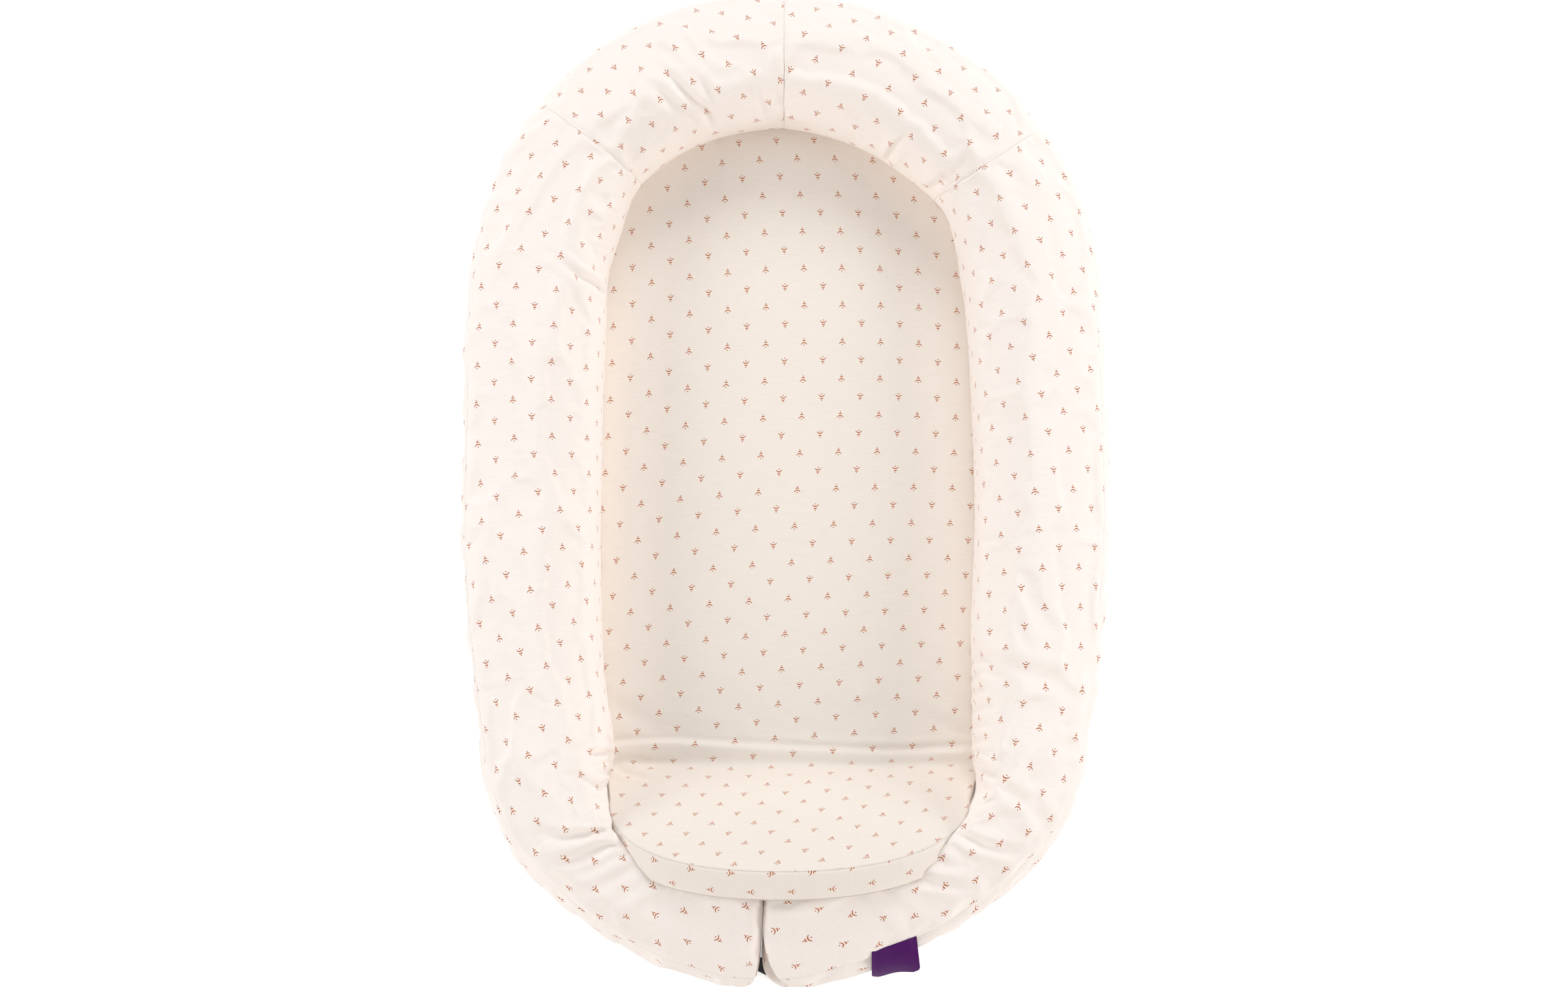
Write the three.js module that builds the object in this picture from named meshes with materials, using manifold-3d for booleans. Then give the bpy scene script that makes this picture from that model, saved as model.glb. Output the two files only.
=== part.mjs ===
// Infant lounger: a stuffed bumper ring, open at the foot, round a foam pad with a folded-up foot flap.
// Millimetres, +Z up, +Y towards the head, +X to the right. Modelled about the centre of the head's
// arc, then moved so that the origin is the middle of the footprint on the floor.
import * as THREE from "three";
import { mergeVertices } from "three/addons/utils/BufferGeometryUtils.js";
import Module from "manifold-3d";

const wasm = await Module();
wasm.setup();

const degree = Math.PI / 180;

// Cloth and clearances
const clothThickness = 1.2;
const pieceGap = 0.3;

// Bumper tube
const outerHalfWidth = 62;
const innerHalfWidth = 62;
const footInnerHalfWidth = 50;
const widestHeight = 64;
const topRise = 64;
const bottomDrop = 68;
const outerSeamAngle = 32 * degree;
const innerSeamAngle = 240 * degree;
const seamDraw = 2.5;
const seamReach = 14;
const endDraw = 5;
const endReach = 34;
const endDome = 6;
const endSetback = 9.5;
const endsMeetX = -18;
const fillingGap = 0.8;
const flapPressGap = 10;
const padSideGap = 1;
const topFacets = 12;
const underFacets = 8;
const stationSpacing = 38;
const footStationSpacing = 20;
const pressSpread = 16 * degree;

// Bumper centreline, from the end of the head's arc down one side
const sideLength = 186.5;
const taperRadius = 1075;
const taperTurn = 12.5 * degree;
const cornerRadius = 112;
const cornerTurn = 35 * degree;
const footRadius = 290;
const leftSeamTurn = 50 * degree;
const rightSeamTurn = 55 * degree;
const footSkew = -14;
const skewStart = 430;
const skewEnd = 600;

// Base panel
const baseHeight = 2;
const baseThickness = 1.2;

// Pad and its foot flap
const padThickness = 30;
const padHeadRadius = 159;
const creaseHalfWidth = 153;
const creaseDistance = 410;
const padCrown = 5;
const flapSlope = 50 * degree;
const flapLength = 160;
const flapRound = 96;
const flapCrown = 4;
const headFacets = 16;
const flapFacets = 14;

// Zip along the pad's left side
const zipStart = 30;
const zipLength = 320;
const zipTapeWidth = 18;
const zipTapeThickness = 0.6;
const zipChainWidth = 5;
const zipChainThickness = 1;
const sliderLength = 10;
const sliderWidth = 8;
const sliderThickness = 1;
const archLength = 5;
const archHeight = 2;
const archWidth = 1.6;
const archWall = 0.5;
const pullLength = 17;
const pullWidth = 5.6;
const pullThickness = 0.8;
const pullBar = 0.9;
const pullEyeLength = 3.6;
const pullRim = 1.4;

// Strap, buckle and tag
const strapWidth = 25;
const strapThickness = 1.5;
const strapHeight = 0.3;
const strapFromTube = 50;
const tabGap = 0.6;
const tabLength = 30;
const tabAngle = -42 * degree;
const leftTabFromEnd = 34;
const rightTabFromEnd = 80;
const buckleFromEnd = 12;
const buckleThickness = 7;
const buckleWidth = 30;
const buckleCorner = 3;
const slotLength = 4;
const barLength = 3.5;
const plugBaseLength = 13;
const plugThickness = 3.4;
const prongLength = 20;
const prongWidth = 6;
const armLength = 19;
const armWidth = 3.6;
const armInset = 3.4;
const socketBody = 26;
const socketWall = 1.4;
const socketMouthGap = 0.6;
const windowLength = 8;
const windowFromMouth = 11;
const loopTail = 22;
const ribbonRows = 5;
const ribbonCols = 4;
const tagLength = 45;
const tagDrop = 33;
const tagThickness = 1.2;
const tagSlope = 42 * degree;
const tagFromEnd = 72;
const tagCorner = 3;
const overrun = 5;

// The bumper runs round the pad's head with room for the zip beside the pad
const zipDepth = 2 * pieceGap + zipTapeThickness + zipChainThickness + sliderThickness + archHeight;
const headRadius = padHeadRadius + zipDepth + pieceGap + innerHalfWidth;

// Colours as seen
const colours = {
  cloth: [0xf3ebe3, 0.95],
  underCloth: [0xefe7df, 0.95],
  lining: [0xf4f1ec, 0.95],
  fibre: [0xfafafa, 1],
  foam: [0xf1ead0, 0.9],
  webbing: [0x17171a, 0.85],
  plastic: [0x121214, 0.45],
  tag: [0x4b195f, 0.8],
  zip: [0xf0ebe4, 0.7],
  metal: [0xc9c9cb, 0.35],
};

const nest = new THREE.Group();

function addMesh(name, geometry, colour, parent = nest) {
  const [color, roughness] = colours[colour];
  const metalness = colour === "metal" ? 0.9 : 0;
  const mesh = new THREE.Mesh(geometry, new THREE.MeshStandardMaterial({ color, roughness, metalness }));
  mesh.name = name;
  parent.add(mesh);
  return mesh;
}

// A closed surface from points and faces, turned so that its faces point out
function closedGeometry(points, faces) {
  let volume = 0;
  for (let i = 0; i < faces.length; i += 3) {
    const [a, b, c] = [points[faces[i]], points[faces[i + 1]], points[faces[i + 2]]];
    volume += a.dot(b.clone().cross(c));
  }
  const geometry = new THREE.BufferGeometry().setFromPoints(points);
  geometry.setIndex(volume < 0 ? faces.toReversed() : faces);
  geometry.computeVertexNormals();
  return geometry;
}

// A sheet with open edges: its outer and inner points are two grids of the same rows and columns
function sheetGeometry(rows, cols, outer, inner) {
  const points = [];
  for (const layer of [outer, inner]) {
    for (let i = 0; i < rows; i++) for (let j = 0; j < cols; j++) points.push(layer(i, j));
  }
  const faces = [];
  const at = (layer, i, j) => (layer * rows + i) * cols + j;
  const quad = (a, b, c, d) => faces.push(a, b, c, a, c, d);
  for (let i = 0; i < rows - 1; i++) {
    for (let j = 0; j < cols - 1; j++) {
      quad(at(0, i, j), at(0, i + 1, j), at(0, i + 1, j + 1), at(0, i, j + 1));
      quad(at(1, i, j), at(1, i, j + 1), at(1, i + 1, j + 1), at(1, i + 1, j));
    }
    quad(at(0, i, 0), at(1, i, 0), at(1, i + 1, 0), at(0, i + 1, 0));
    quad(at(0, i, cols - 1), at(0, i + 1, cols - 1), at(1, i + 1, cols - 1), at(1, i, cols - 1));
  }
  for (let j = 0; j < cols - 1; j++) {
    quad(at(0, 0, j), at(0, 0, j + 1), at(1, 0, j + 1), at(1, 0, j));
    quad(at(0, rows - 1, j), at(1, rows - 1, j), at(1, rows - 1, j + 1), at(0, rows - 1, j + 1));
  }
  return closedGeometry(points, faces);
}

// A body skinned over closed rings of points, each end closed by a fan to a middle point
function ringGeometry(rings, firstMiddle, lastMiddle) {
  const count = rings[0].length;
  const points = [...rings.flat(), firstMiddle, lastMiddle];
  const first = rings.length * count;
  const faces = [];
  for (let i = 0; i < rings.length - 1; i++) {
    for (let j = 0; j < count; j++) {
      const next = (j + 1) % count;
      const [a, b] = [i * count + j, i * count + next];
      faces.push(a, a + count, b + count, a, b + count, b);
    }
  }
  const last = (rings.length - 1) * count;
  for (let j = 0; j < count; j++) {
    const next = (j + 1) % count;
    faces.push(first, j, next, first + 1, last + next, last + j);
  }
  return closedGeometry(points, faces);
}

// Booleans on closed geometries
function solidOf(geometry) {
  const bare = geometry.clone();
  bare.deleteAttribute("normal");
  bare.deleteAttribute("uv");
  const merged = mergeVertices(bare);
  return new wasm.Manifold(new wasm.Mesh({
    numProp: 3,
    vertProperties: Float32Array.from(merged.attributes.position.array),
    triVerts: Uint32Array.from(merged.index.array),
  }));
}

function geometryOf(solid) {
  const { vertProperties, triVerts } = solid.getMesh();
  const geometry = new THREE.BufferGeometry();
  geometry.setAttribute("position", new THREE.BufferAttribute(Float32Array.from(vertProperties), 3));
  geometry.setIndex(new THREE.BufferAttribute(Uint32Array.from(triVerts), 1));
  geometry.computeVertexNormals();
  return geometry;
}

// A plate of the given outline, from one height to another
function plate(shape, low, high) {
  const geometry = new THREE.ExtrudeGeometry(shape, { depth: high - low, bevelEnabled: false, curveSegments: 3 });
  return geometry.translate(0, 0, low);
}

function polygon(points, holes = []) {
  const shape = new THREE.Shape(points.map(([x, y]) => new THREE.Vector2(x, y)));
  shape.holes = holes.map((hole) => new THREE.Path(hole.map(([x, y]) => new THREE.Vector2(x, y))));
  return shape;
}

function rectangle(left, right, halfHeight) {
  return [[left, -halfHeight], [right, -halfHeight], [right, halfHeight], [left, halfHeight]];
}

function roundedRectangle(left, right, halfHeight, radius) {
  const shape = new THREE.Shape();
  shape.moveTo(left + radius, -halfHeight);
  shape.lineTo(right - radius, -halfHeight);
  shape.absarc(right - radius, radius - halfHeight, radius, -Math.PI / 2, 0);
  shape.lineTo(right, halfHeight - radius);
  shape.absarc(right - radius, halfHeight - radius, radius, 0, Math.PI / 2);
  shape.lineTo(left + radius, halfHeight);
  shape.absarc(left + radius, halfHeight - radius, radius, Math.PI / 2, Math.PI);
  shape.lineTo(left, radius - halfHeight);
  shape.absarc(left + radius, radius - halfHeight, radius, Math.PI, 1.5 * Math.PI);
  return shape;
}

// The pad's frame: the crease where the flap turns up, at the top of the pad
const baseTop = baseHeight + baseThickness;
const padBottom = baseTop + pieceGap;
const padTop = padBottom + padThickness;
const creaseY = -creaseDistance;
const flapAlong = new THREE.Vector3(0, -Math.cos(flapSlope), Math.sin(flapSlope));
const flapNormal = new THREE.Vector3(0, Math.sin(flapSlope), Math.cos(flapSlope));
const flapEdge = flapLength - flapRound;
const mitre = Math.tan(flapSlope / 2);

function flapPoint(x, along, depth) {
  return new THREE.Vector3(x, creaseY, padTop).addScaledVector(flapAlong, along).addScaledVector(flapNormal, -depth);
}

function flapEnd(x, margin) {
  const share = Math.min(Math.abs(x) / (creaseHalfWidth + margin), 1);
  return flapEdge + (flapRound + margin) * Math.sqrt(1 - share * share);
}

// Whether a point lies in the room that the pad and its flap need, with a margin round them
function insideFlapRoom(point, margin) {
  const depth = (padTop - point.z) * Math.cos(flapSlope) - (point.y - creaseY) * Math.sin(flapSlope);
  const along = (point.z - padTop) * Math.sin(flapSlope) - (point.y - creaseY) * Math.cos(flapSlope);
  if (point.y > 0) return Math.hypot(point.x, point.y) < padHeadRadius + margin - flapPressGap + padSideGap;
  const isBeside = Math.abs(point.x) > creaseHalfWidth + margin;
  if (isBeside || depth > padThickness + margin) return false;
  if (point.y < creaseY) return along < flapEnd(point.x, margin);
  return Math.abs(point.x) < creaseHalfWidth + margin - flapPressGap + padSideGap;
}

// The centreline of one side, as arcs: heading 0 runs along +X at the middle of the head
function outwardAt(heading) {
  return new THREE.Vector2(Math.sin(heading), Math.cos(heading));
}

function makeSpine(endX) {
  const pieces = [];
  let start = new THREE.Vector2(0, headRadius);
  let heading = 0;
  const addArc = (radius, turn) => {
    const centre = start.clone().addScaledVector(outwardAt(heading), -radius);
    pieces.push({ centre, radius, heading, length: radius * turn });
    heading += turn;
    start = centre.clone().addScaledVector(outwardAt(heading), radius);
  };
  addArc(headRadius, Math.PI / 2);
  pieces.push({ start, heading, length: sideLength });
  start = start.clone().add(new THREE.Vector2(0, -sideLength));
  addArc(taperRadius, taperTurn);
  addArc(cornerRadius, cornerTurn);
  const footCentreX = start.x - footRadius * Math.sin(heading);
  const endHeading = Math.PI - Math.asin((endX - footCentreX) / footRadius);
  addArc(footRadius, endHeading - heading);
  const length = pieces.reduce((sum, piece) => sum + piece.length, 0);
  return { pieces, length };
}

function spineAt(spine, distance) {
  let left = distance;
  let piece = spine.pieces[0];
  for (piece of spine.pieces) {
    if (left <= piece.length || piece === spine.pieces.at(-1)) break;
    left -= piece.length;
  }
  if (!piece.radius) {
    return { place: piece.start.clone().add(new THREE.Vector2(0, -left)), heading: piece.heading };
  }
  const heading = piece.heading + left / piece.radius;
  return { place: piece.centre.clone().addScaledVector(outwardAt(heading), piece.radius), heading };
}

// One side of the bumper: mirrored for the left
function makeSide(mirror, seamTurn) {
  const spine = makeSpine(mirror * (endsMeetX - footSkew) + endSetback);
  const seam = headRadius * seamTurn;
  const taperStart = headRadius * Math.PI / 2 + sideLength;
  const taperEnd = taperStart + taperRadius * taperTurn;
  return { mirror, spine, seam, taperStart, taperEnd, length: spine.length };
}

const leftSide = makeSide(-1, leftSeamTurn);
const rightSide = makeSide(1, rightSeamTurn);

// The tube's middle at a place, over the floor, with the ways out and along: the foot leans to one side
function stationAt(side, distance) {
  const { place, heading } = spineAt(side.spine, distance);
  const lean = footSkew * THREE.MathUtils.smoothstep(-place.y, skewStart, skewEnd);
  return {
    heading,
    middle: new THREE.Vector3(place.x * side.mirror + lean, place.y, 0),
    outward: new THREE.Vector3(Math.sin(heading) * side.mirror, Math.cos(heading), 0),
    along: new THREE.Vector3(Math.cos(heading) * side.mirror, -Math.sin(heading), 0),
  };
}

// How far the cover is drawn in at a place: at the seams, and more at the closed ends
function drawAt(side, distance) {
  const toSeam = Math.min(Math.abs(distance - side.seam), distance);
  const toEnd = side.length - distance;
  const seamPart = seamDraw * Math.max(0, 1 - toSeam / seamReach);
  const endShare = Math.max(0, 1 - toEnd / endReach);
  return seamPart + endDraw * endShare * endShare;
}

// The way out from the tube's middle to its face, at a distance along it and an angle round it
function tubeReach(side, distance, angle, depth) {
  const { middle, outward } = stationAt(side, distance);
  const shrink = depth + drawAt(side, distance);
  const taper = THREE.MathUtils.smoothstep(distance, side.taperStart, side.taperEnd);
  const inner = THREE.MathUtils.lerp(innerHalfWidth, footInnerHalfWidth, taper);
  const across = Math.cos(angle) * ((Math.cos(angle) > 0 ? outerHalfWidth : inner) - shrink);
  const rise = Math.sin(angle) * ((Math.sin(angle) > 0 ? topRise : bottomDrop) - shrink);
  middle.z = widestHeight;
  return { middle, reach: outward.multiplyScalar(across).setZ(rise) };
}

// The press round a point is spread to its neighbours and evened out, as the filling does
function evenPress(side, distance, angle, depth) {
  const steps = [-2, -1, 0, 1, 2];
  const shares = steps.map((shift) => steps.map((turn) => {
    const place = THREE.MathUtils.clamp(distance + shift * footStationSpacing, 0, side.length);
    const { middle, reach } = tubeReach(side, place, angle + turn * pressSpread, depth);
    return pressShare(middle, reach, flapPressGap + depth);
  }));
  const lowest = (i, j) => Math.min(...shares.slice(i, i + 3).flatMap((row) => row.slice(j, j + 3)));
  const windows = [0, 1, 2].flatMap((i) => [0, 1, 2].map((j) => lowest(i, j)));
  return windows.reduce((sum, share) => sum + share) / windows.length;
}

// A point of the tube, a depth under the cover's face, pressed in round the flap that lies on it
function tubePoint(side, distance, angle, depth) {
  const { middle, reach } = tubeReach(side, distance, angle, depth);
  const point = middle.addScaledVector(reach, evenPress(side, distance, angle, depth));
  point.z = Math.max(point.z, depth);
  return point;
}

// The share of its reach at which the stuffed tube is stopped by the flap that lies on it
function pressShare(middle, reach, margin) {
  const isFree = (share) => !insideFlapRoom(middle.clone().addScaledVector(reach, share), margin);
  if (isFree(1)) return 1;
  let [low, high] = [0, 1];
  for (let step = 0; step < 20; step++) {
    const share = (low + high) / 2;
    if (isFree(share)) low = share;
    else high = share;
  }
  return low;
}

// Even steps between two places, both kept
function evenSteps(start, end, spacing) {
  const count = Math.round((end - start) / spacing);
  return Array.from({ length: count + 1 }, (_, i) => start + ((end - start) * i) / count);
}

// The places of a panel's rings: one next to each seam, and closer where the flap presses
function headStations(side) {
  return [0, ...evenSteps(seamReach, side.seam - seamReach, stationSpacing), side.seam];
}

function sideStations(side) {
  const first = evenSteps(side.seam + seamReach, side.taperEnd, stationSpacing);
  const foot = evenSteps(side.taperEnd, side.length - seamReach, footStationSpacing);
  return [side.seam, ...first, ...foot.slice(1), side.length];
}

function allStations(side) {
  return [...headStations(side), ...sideStations(side).slice(1)];
}

function anglesBetween(start, end, facets) {
  return Array.from({ length: facets + 1 }, (_, i) => start + ((end - start) * i) / facets);
}

const topAngles = anglesBetween(outerSeamAngle, innerSeamAngle, topFacets);
const underAngles = anglesBetween(innerSeamAngle, outerSeamAngle + 2 * Math.PI, underFacets);

// The same list with its two ends moved in by half a gap, so that neighbours stay apart
function trimmed(values, halfGap) {
  return values.map((value, i) => value + halfGap * ((i === 0) - (i === values.length - 1)));
}

function coverPanel(name, side, places, angles, colour) {
  const forward = trimmed(places, pieceGap / 2);
  const rowsAt = side.mirror < 0 ? forward.toReversed() : forward;
  const colsAt = trimmed(angles, pieceGap / 2 / innerHalfWidth);
  const layer = (depth) => (i, j) => tubePoint(side, rowsAt[i], colsAt[j], depth);
  addMesh(name, sheetGeometry(rowsAt.length, colsAt.length, layer(0), layer(clothThickness)), colour);
}

function bumperCover() {
  for (const [word, side] of [["left", leftSide], ["right", rightSide]]) {
    coverPanel(`bumper_top_head_${word}`, side, headStations(side), topAngles, "cloth");
    coverPanel(`bumper_top_${word}`, side, sideStations(side), topAngles, "cloth");
    coverPanel(`bumper_under_head_${word}`, side, headStations(side), underAngles, "underCloth");
    coverPanel(`bumper_under_${word}`, side, sideStations(side), underAngles, "underCloth");
  }
}

// The round panel that closes one end of the tube, domed by the filling
function endRing(side, share, depth, setForward) {
  const angles = [...topAngles.slice(0, -1), ...underAngles.slice(0, -1)];
  const { middle, along } = stationAt(side, side.length);
  middle.z = widestHeight;
  const forward = setForward + endDome * (1 - share * share);
  return angles.map((angle) => {
    const rim = tubePoint(side, side.length, angle, depth);
    return rim.lerp(middle, 1 - share).addScaledVector(along, forward);
  });
}

function endMiddle(side, setForward) {
  const { middle, along } = stationAt(side, side.length);
  return middle.addScaledVector(along, setForward + endDome).setZ(widestHeight);
}

const domeShares = [0.45, 0.8, 1];

function bumperEnds() {
  for (const [word, side] of [["left", leftSide], ["right", rightSide]]) {
    const outside = domeShares.map((share) => endRing(side, share, 0, pieceGap + clothThickness));
    const inside = domeShares.map((share) => endRing(side, share, 0, pieceGap)).toReversed();
    const middles = [endMiddle(side, pieceGap + clothThickness), endMiddle(side, pieceGap)];
    addMesh(`bumper_end_${word}`, ringGeometry([...outside, ...inside], ...middles), "cloth");
  }
}

function bumperFilling() {
  const depth = clothThickness + fillingGap;
  const angles = [...topAngles.slice(0, -1), ...underAngles.slice(0, -1)];
  const ringsOf = (side) =>
    allStations(side).map((place) => angles.map((angle) => tubePoint(side, place, angle, depth)));
  const domeOf = (side) => domeShares.slice(0, -1).map((share) => endRing(side, share, depth, 0)).toReversed();
  const left = [...ringsOf(leftSide), ...domeOf(leftSide)].toReversed();
  const right = [...ringsOf(rightSide).slice(1), ...domeOf(rightSide)];
  const middles = [endMiddle(leftSide, 0), endMiddle(rightSide, 0)];
  addMesh("bumper_filling", ringGeometry([...left, ...right], ...middles), "fibre");
}

// The cloth floor, cut to meet the tubes' flanks at its own height
function flankReach(side, distance, height) {
  const taper = THREE.MathUtils.smoothstep(distance, side.taperStart, side.taperEnd);
  const inner = THREE.MathUtils.lerp(innerHalfWidth, footInnerHalfWidth, taper);
  const share = (widestHeight - height) / bottomDrop;
  return inner * Math.sqrt(1 - share * share) + pieceGap;
}

function basePanel() {
  const edgeOf = (side, height) => {
    return allStations(side).map((distance) => {
      const { middle, outward } = stationAt(side, distance);
      return middle.addScaledVector(outward, -flankReach(side, distance, baseTop)).setZ(height);
    });
  };
  const ringAt = (height) => [...edgeOf(rightSide, height), ...edgeOf(leftSide, height).slice(1).toReversed()];
  const middle = (height) => new THREE.Vector3(0, creaseY / 2, height);
  const rings = [ringAt(baseTop), ringAt(baseHeight)];
  addMesh("base_panel", ringGeometry(rings, middle(baseTop), middle(baseHeight)), "lining");
}

// The flat part of the pad: its outline at a height, inset from the cover's face
function padOutline(height, inset) {
  const creaseLine = creaseY - (padTop - height) * mitre + pieceGap / 2 + (inset > 0 ? clothThickness / 2 : 0);
  const points = [];
  for (let i = 0; i <= headFacets; i++) {
    const angle = (Math.PI * i) / headFacets;
    const radius = padHeadRadius - inset;
    points.push(new THREE.Vector3(radius * Math.cos(angle), radius * Math.sin(angle), height));
  }
  const half = creaseHalfWidth - inset;
  points.push(new THREE.Vector3(-half, creaseLine, height), new THREE.Vector3(half, creaseLine, height));
  return points;
}

// The flap: its outline at a depth under its top face, inset from the cover's face
function flapOutline(depth, inset) {
  const start = pieceGap / 2 - depth * mitre + (inset > 0 ? clothThickness / 2 : 0);
  const half = creaseHalfWidth - inset;
  const points = [flapPoint(half, start, depth)];
  for (let i = 0; i <= flapFacets; i++) {
    const angle = (Math.PI * i) / flapFacets;
    const reach = (flapRound - inset) * Math.sin(angle);
    points.push(flapPoint(half * Math.cos(angle), flapEdge + reach, depth));
  }
  points.push(flapPoint(-half, start, depth));
  return points;
}

const crownShares = [0.5, 0.86, 1];

// A crowned layer between two depths, from an outline function: the crown is highest at the middle
function crownedLayer({ outline, middleOf, lift, inset, rise: crown, isFlatBelow }, top, bottom) {
  const ringAt = (level, share, height) => {
    const middle = middleOf(level);
    return outline(level, inset).map((point) => point.lerp(middle, 1 - share).addScaledVector(lift, height));
  };
  const rise = (share) => crown * (1 - share ** 3);
  const upper = crownShares.map((share) => ringAt(top, share, rise(share)));
  const lower = crownShares.map((share) => ringAt(bottom, share, isFlatBelow ? 0 : rise(share))).toReversed();
  const topMiddle = middleOf(top).addScaledVector(lift, crown);
  const bottomMiddle = middleOf(bottom).addScaledVector(lift, isFlatBelow ? 0 : crown);
  return ringGeometry([...upper, ...lower], topMiddle, bottomMiddle);
}

// The boxed edge: a strip round the outline between the top and bottom panels
function gussetStrip(outline, top, bottom, open) {
  const layer = (inset) => (i, j) => open(outline([bottom, top][i], inset))[j];
  const count = open(outline(top, 0)).length;
  return sheetGeometry(2, count, layer(0), layer(clothThickness));
}

// Three cloth panels round one foam core
function cushion(prefix, { outline, middleOf, lift, level, crown, open, foamName }) {
  const faceDepth = clothThickness;
  const coreDepth = clothThickness + pieceGap;
  const layer = (top, bottom, inset, rise, isFlatBelow) =>
    crownedLayer({ outline, middleOf, lift, inset, rise, isFlatBelow }, level(top), level(bottom));
  addMesh(`${prefix}_cover_top`, layer(0, faceDepth, 0, crown, false), "cloth");
  addMesh(`${prefix}_cover_bottom`, layer(padThickness - faceDepth, padThickness, 0, 0, true), "lining");
  addMesh(foamName, layer(coreDepth, padThickness - coreDepth, coreDepth, crown, true), "foam");
  const strip = gussetStrip(outline, level(coreDepth), level(padThickness - coreDepth), open);
  addMesh(`${prefix}_cover_side`, strip, "cloth");
}

function pad() {
  cushion("pad", {
    outline: padOutline,
    middleOf: (height) => new THREE.Vector3(0, -creaseDistance / 3, height),
    lift: new THREE.Vector3(0, 0, 1),
    level: (depth) => padTop - depth,
    crown: padCrown,
    open: (points) => [points.at(-1), ...points.slice(0, -1)],
    foamName: "pad_foam",
  });
}

function flap() {
  cushion("flap", {
    outline: flapOutline,
    middleOf: (depth) => flapPoint(0, flapLength / 2, depth),
    lift: flapNormal,
    level: (depth) => depth,
    crown: flapCrown,
    open: (points) => points,
    foamName: "flap_foam",
  });
}

// The zip on the pad's left side: tape and chain, slider with its arch, and the pull through it
function padZip() {
  const run = new THREE.Vector2(padHeadRadius - creaseHalfWidth, -creaseDistance);
  const zip = new THREE.Group();
  zip.position.set(-padHeadRadius, 0, padBottom + padThickness / 2);
  zip.rotation.z = Math.PI + Math.atan2(run.x, -run.y);
  nest.add(zip);

  const half = { tape: zipTapeWidth / 2, chain: zipChainWidth / 2 };
  const tapeFace = pieceGap + zipTapeThickness;
  const chainFace = tapeFace + zipChainThickness;
  const profile = polygon([
    [pieceGap, -half.tape], [tapeFace, -half.tape], [tapeFace, -half.chain], [chainFace, -half.chain],
    [chainFace, half.chain], [tapeFace, half.chain], [tapeFace, half.tape], [pieceGap, half.tape],
  ]);
  const tape = plate(profile, zipStart, zipStart + zipLength).rotateX(-Math.PI / 2);
  addMesh("pad_zip_tape", tape, "zip", zip);

  const sliderFace = chainFace + pieceGap;
  const sliderTop = sliderFace + sliderThickness;
  const sliderMiddle = zipStart + sliderLength;
  const across = (shape, halfWidth) => plate(shape, -halfWidth, halfWidth);
  const side = (low, high, halfLength) => polygon(
    [[low, sliderMiddle - halfLength], [high, sliderMiddle - halfLength],
      [high, sliderMiddle + halfLength], [low, sliderMiddle + halfLength]]);
  const body = solidOf(across(side(sliderFace, sliderTop, sliderLength / 2), sliderWidth / 2));
  const arch = solidOf(across(side(sliderFace, sliderTop + archHeight, archLength / 2), archWidth / 2));
  const hole = solidOf(across(
    side(sliderTop, sliderTop + archHeight - archWall, archLength / 2 - archWall), archWidth / 2 + overrun));
  addMesh("pad_zip_slider", geometryOf(body.add(arch).subtract(hole)), "metal", zip);

  const barMiddle = sliderTop + (archHeight - archWall) / 2;
  const pull = polygon(
    rectangle(-pullBar / 2, pullLength, pullWidth / 2),
    [rectangle(pullBar / 2, pullBar / 2 + pullEyeLength, pullWidth / 2 - pullRim)]);
  const pullPlate = plate(pull, -pullThickness / 2, pullThickness / 2);
  pullPlate.rotateZ(Math.PI / 2).rotateY(Math.PI / 2).translate(barMiddle, sliderMiddle, 0);
  addMesh("pad_zip_pull", pullPlate, "metal", zip);
}

// The strap's own line: under the right end, along the tube there
const buckle = new THREE.Group();

function placeBuckle() {
  const { middle, outward, heading } = stationAt(rightSide, rightSide.length - buckleFromEnd);
  buckle.position.copy(middle).addScaledVector(outward, strapFromTube).setZ(strapHeight);
  buckle.rotation.z = Math.PI - heading;
  nest.add(buckle);
  buckle.updateMatrixWorld();
}

const plugStart = 0;
const mouth = plugStart + plugBaseLength + socketMouthGap;
const socketEnd = mouth + socketBody + slotLength + barLength;
const middleHeight = buckleThickness / 2;

function bucklePlug() {
  const half = buckleWidth / 2;
  const armOuter = half - armInset;
  const base = plugStart + plugBaseLength;
  const outline = [
    [plugStart, -half], [base, -half], [base, -armOuter], [base + armLength, -armOuter],
    [base + armLength, armWidth - armOuter], [base, armWidth - armOuter],
    [base, -prongWidth / 2], [base + prongLength, -prongWidth / 2],
  ];
  const mirrored = outline.map(([x, y]) => [x, -y]).toReversed();
  const slotStart = plugStart + barLength;
  const slot = rectangle(slotStart, slotStart + slotLength, strapWidth / 2 + pieceGap);
  const shape = polygon([...outline, ...mirrored], [slot]);
  const low = middleHeight - plugThickness / 2;
  addMesh("buckle_plug", plate(shape, low, low + plugThickness), "plastic", buckle);
}

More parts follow.
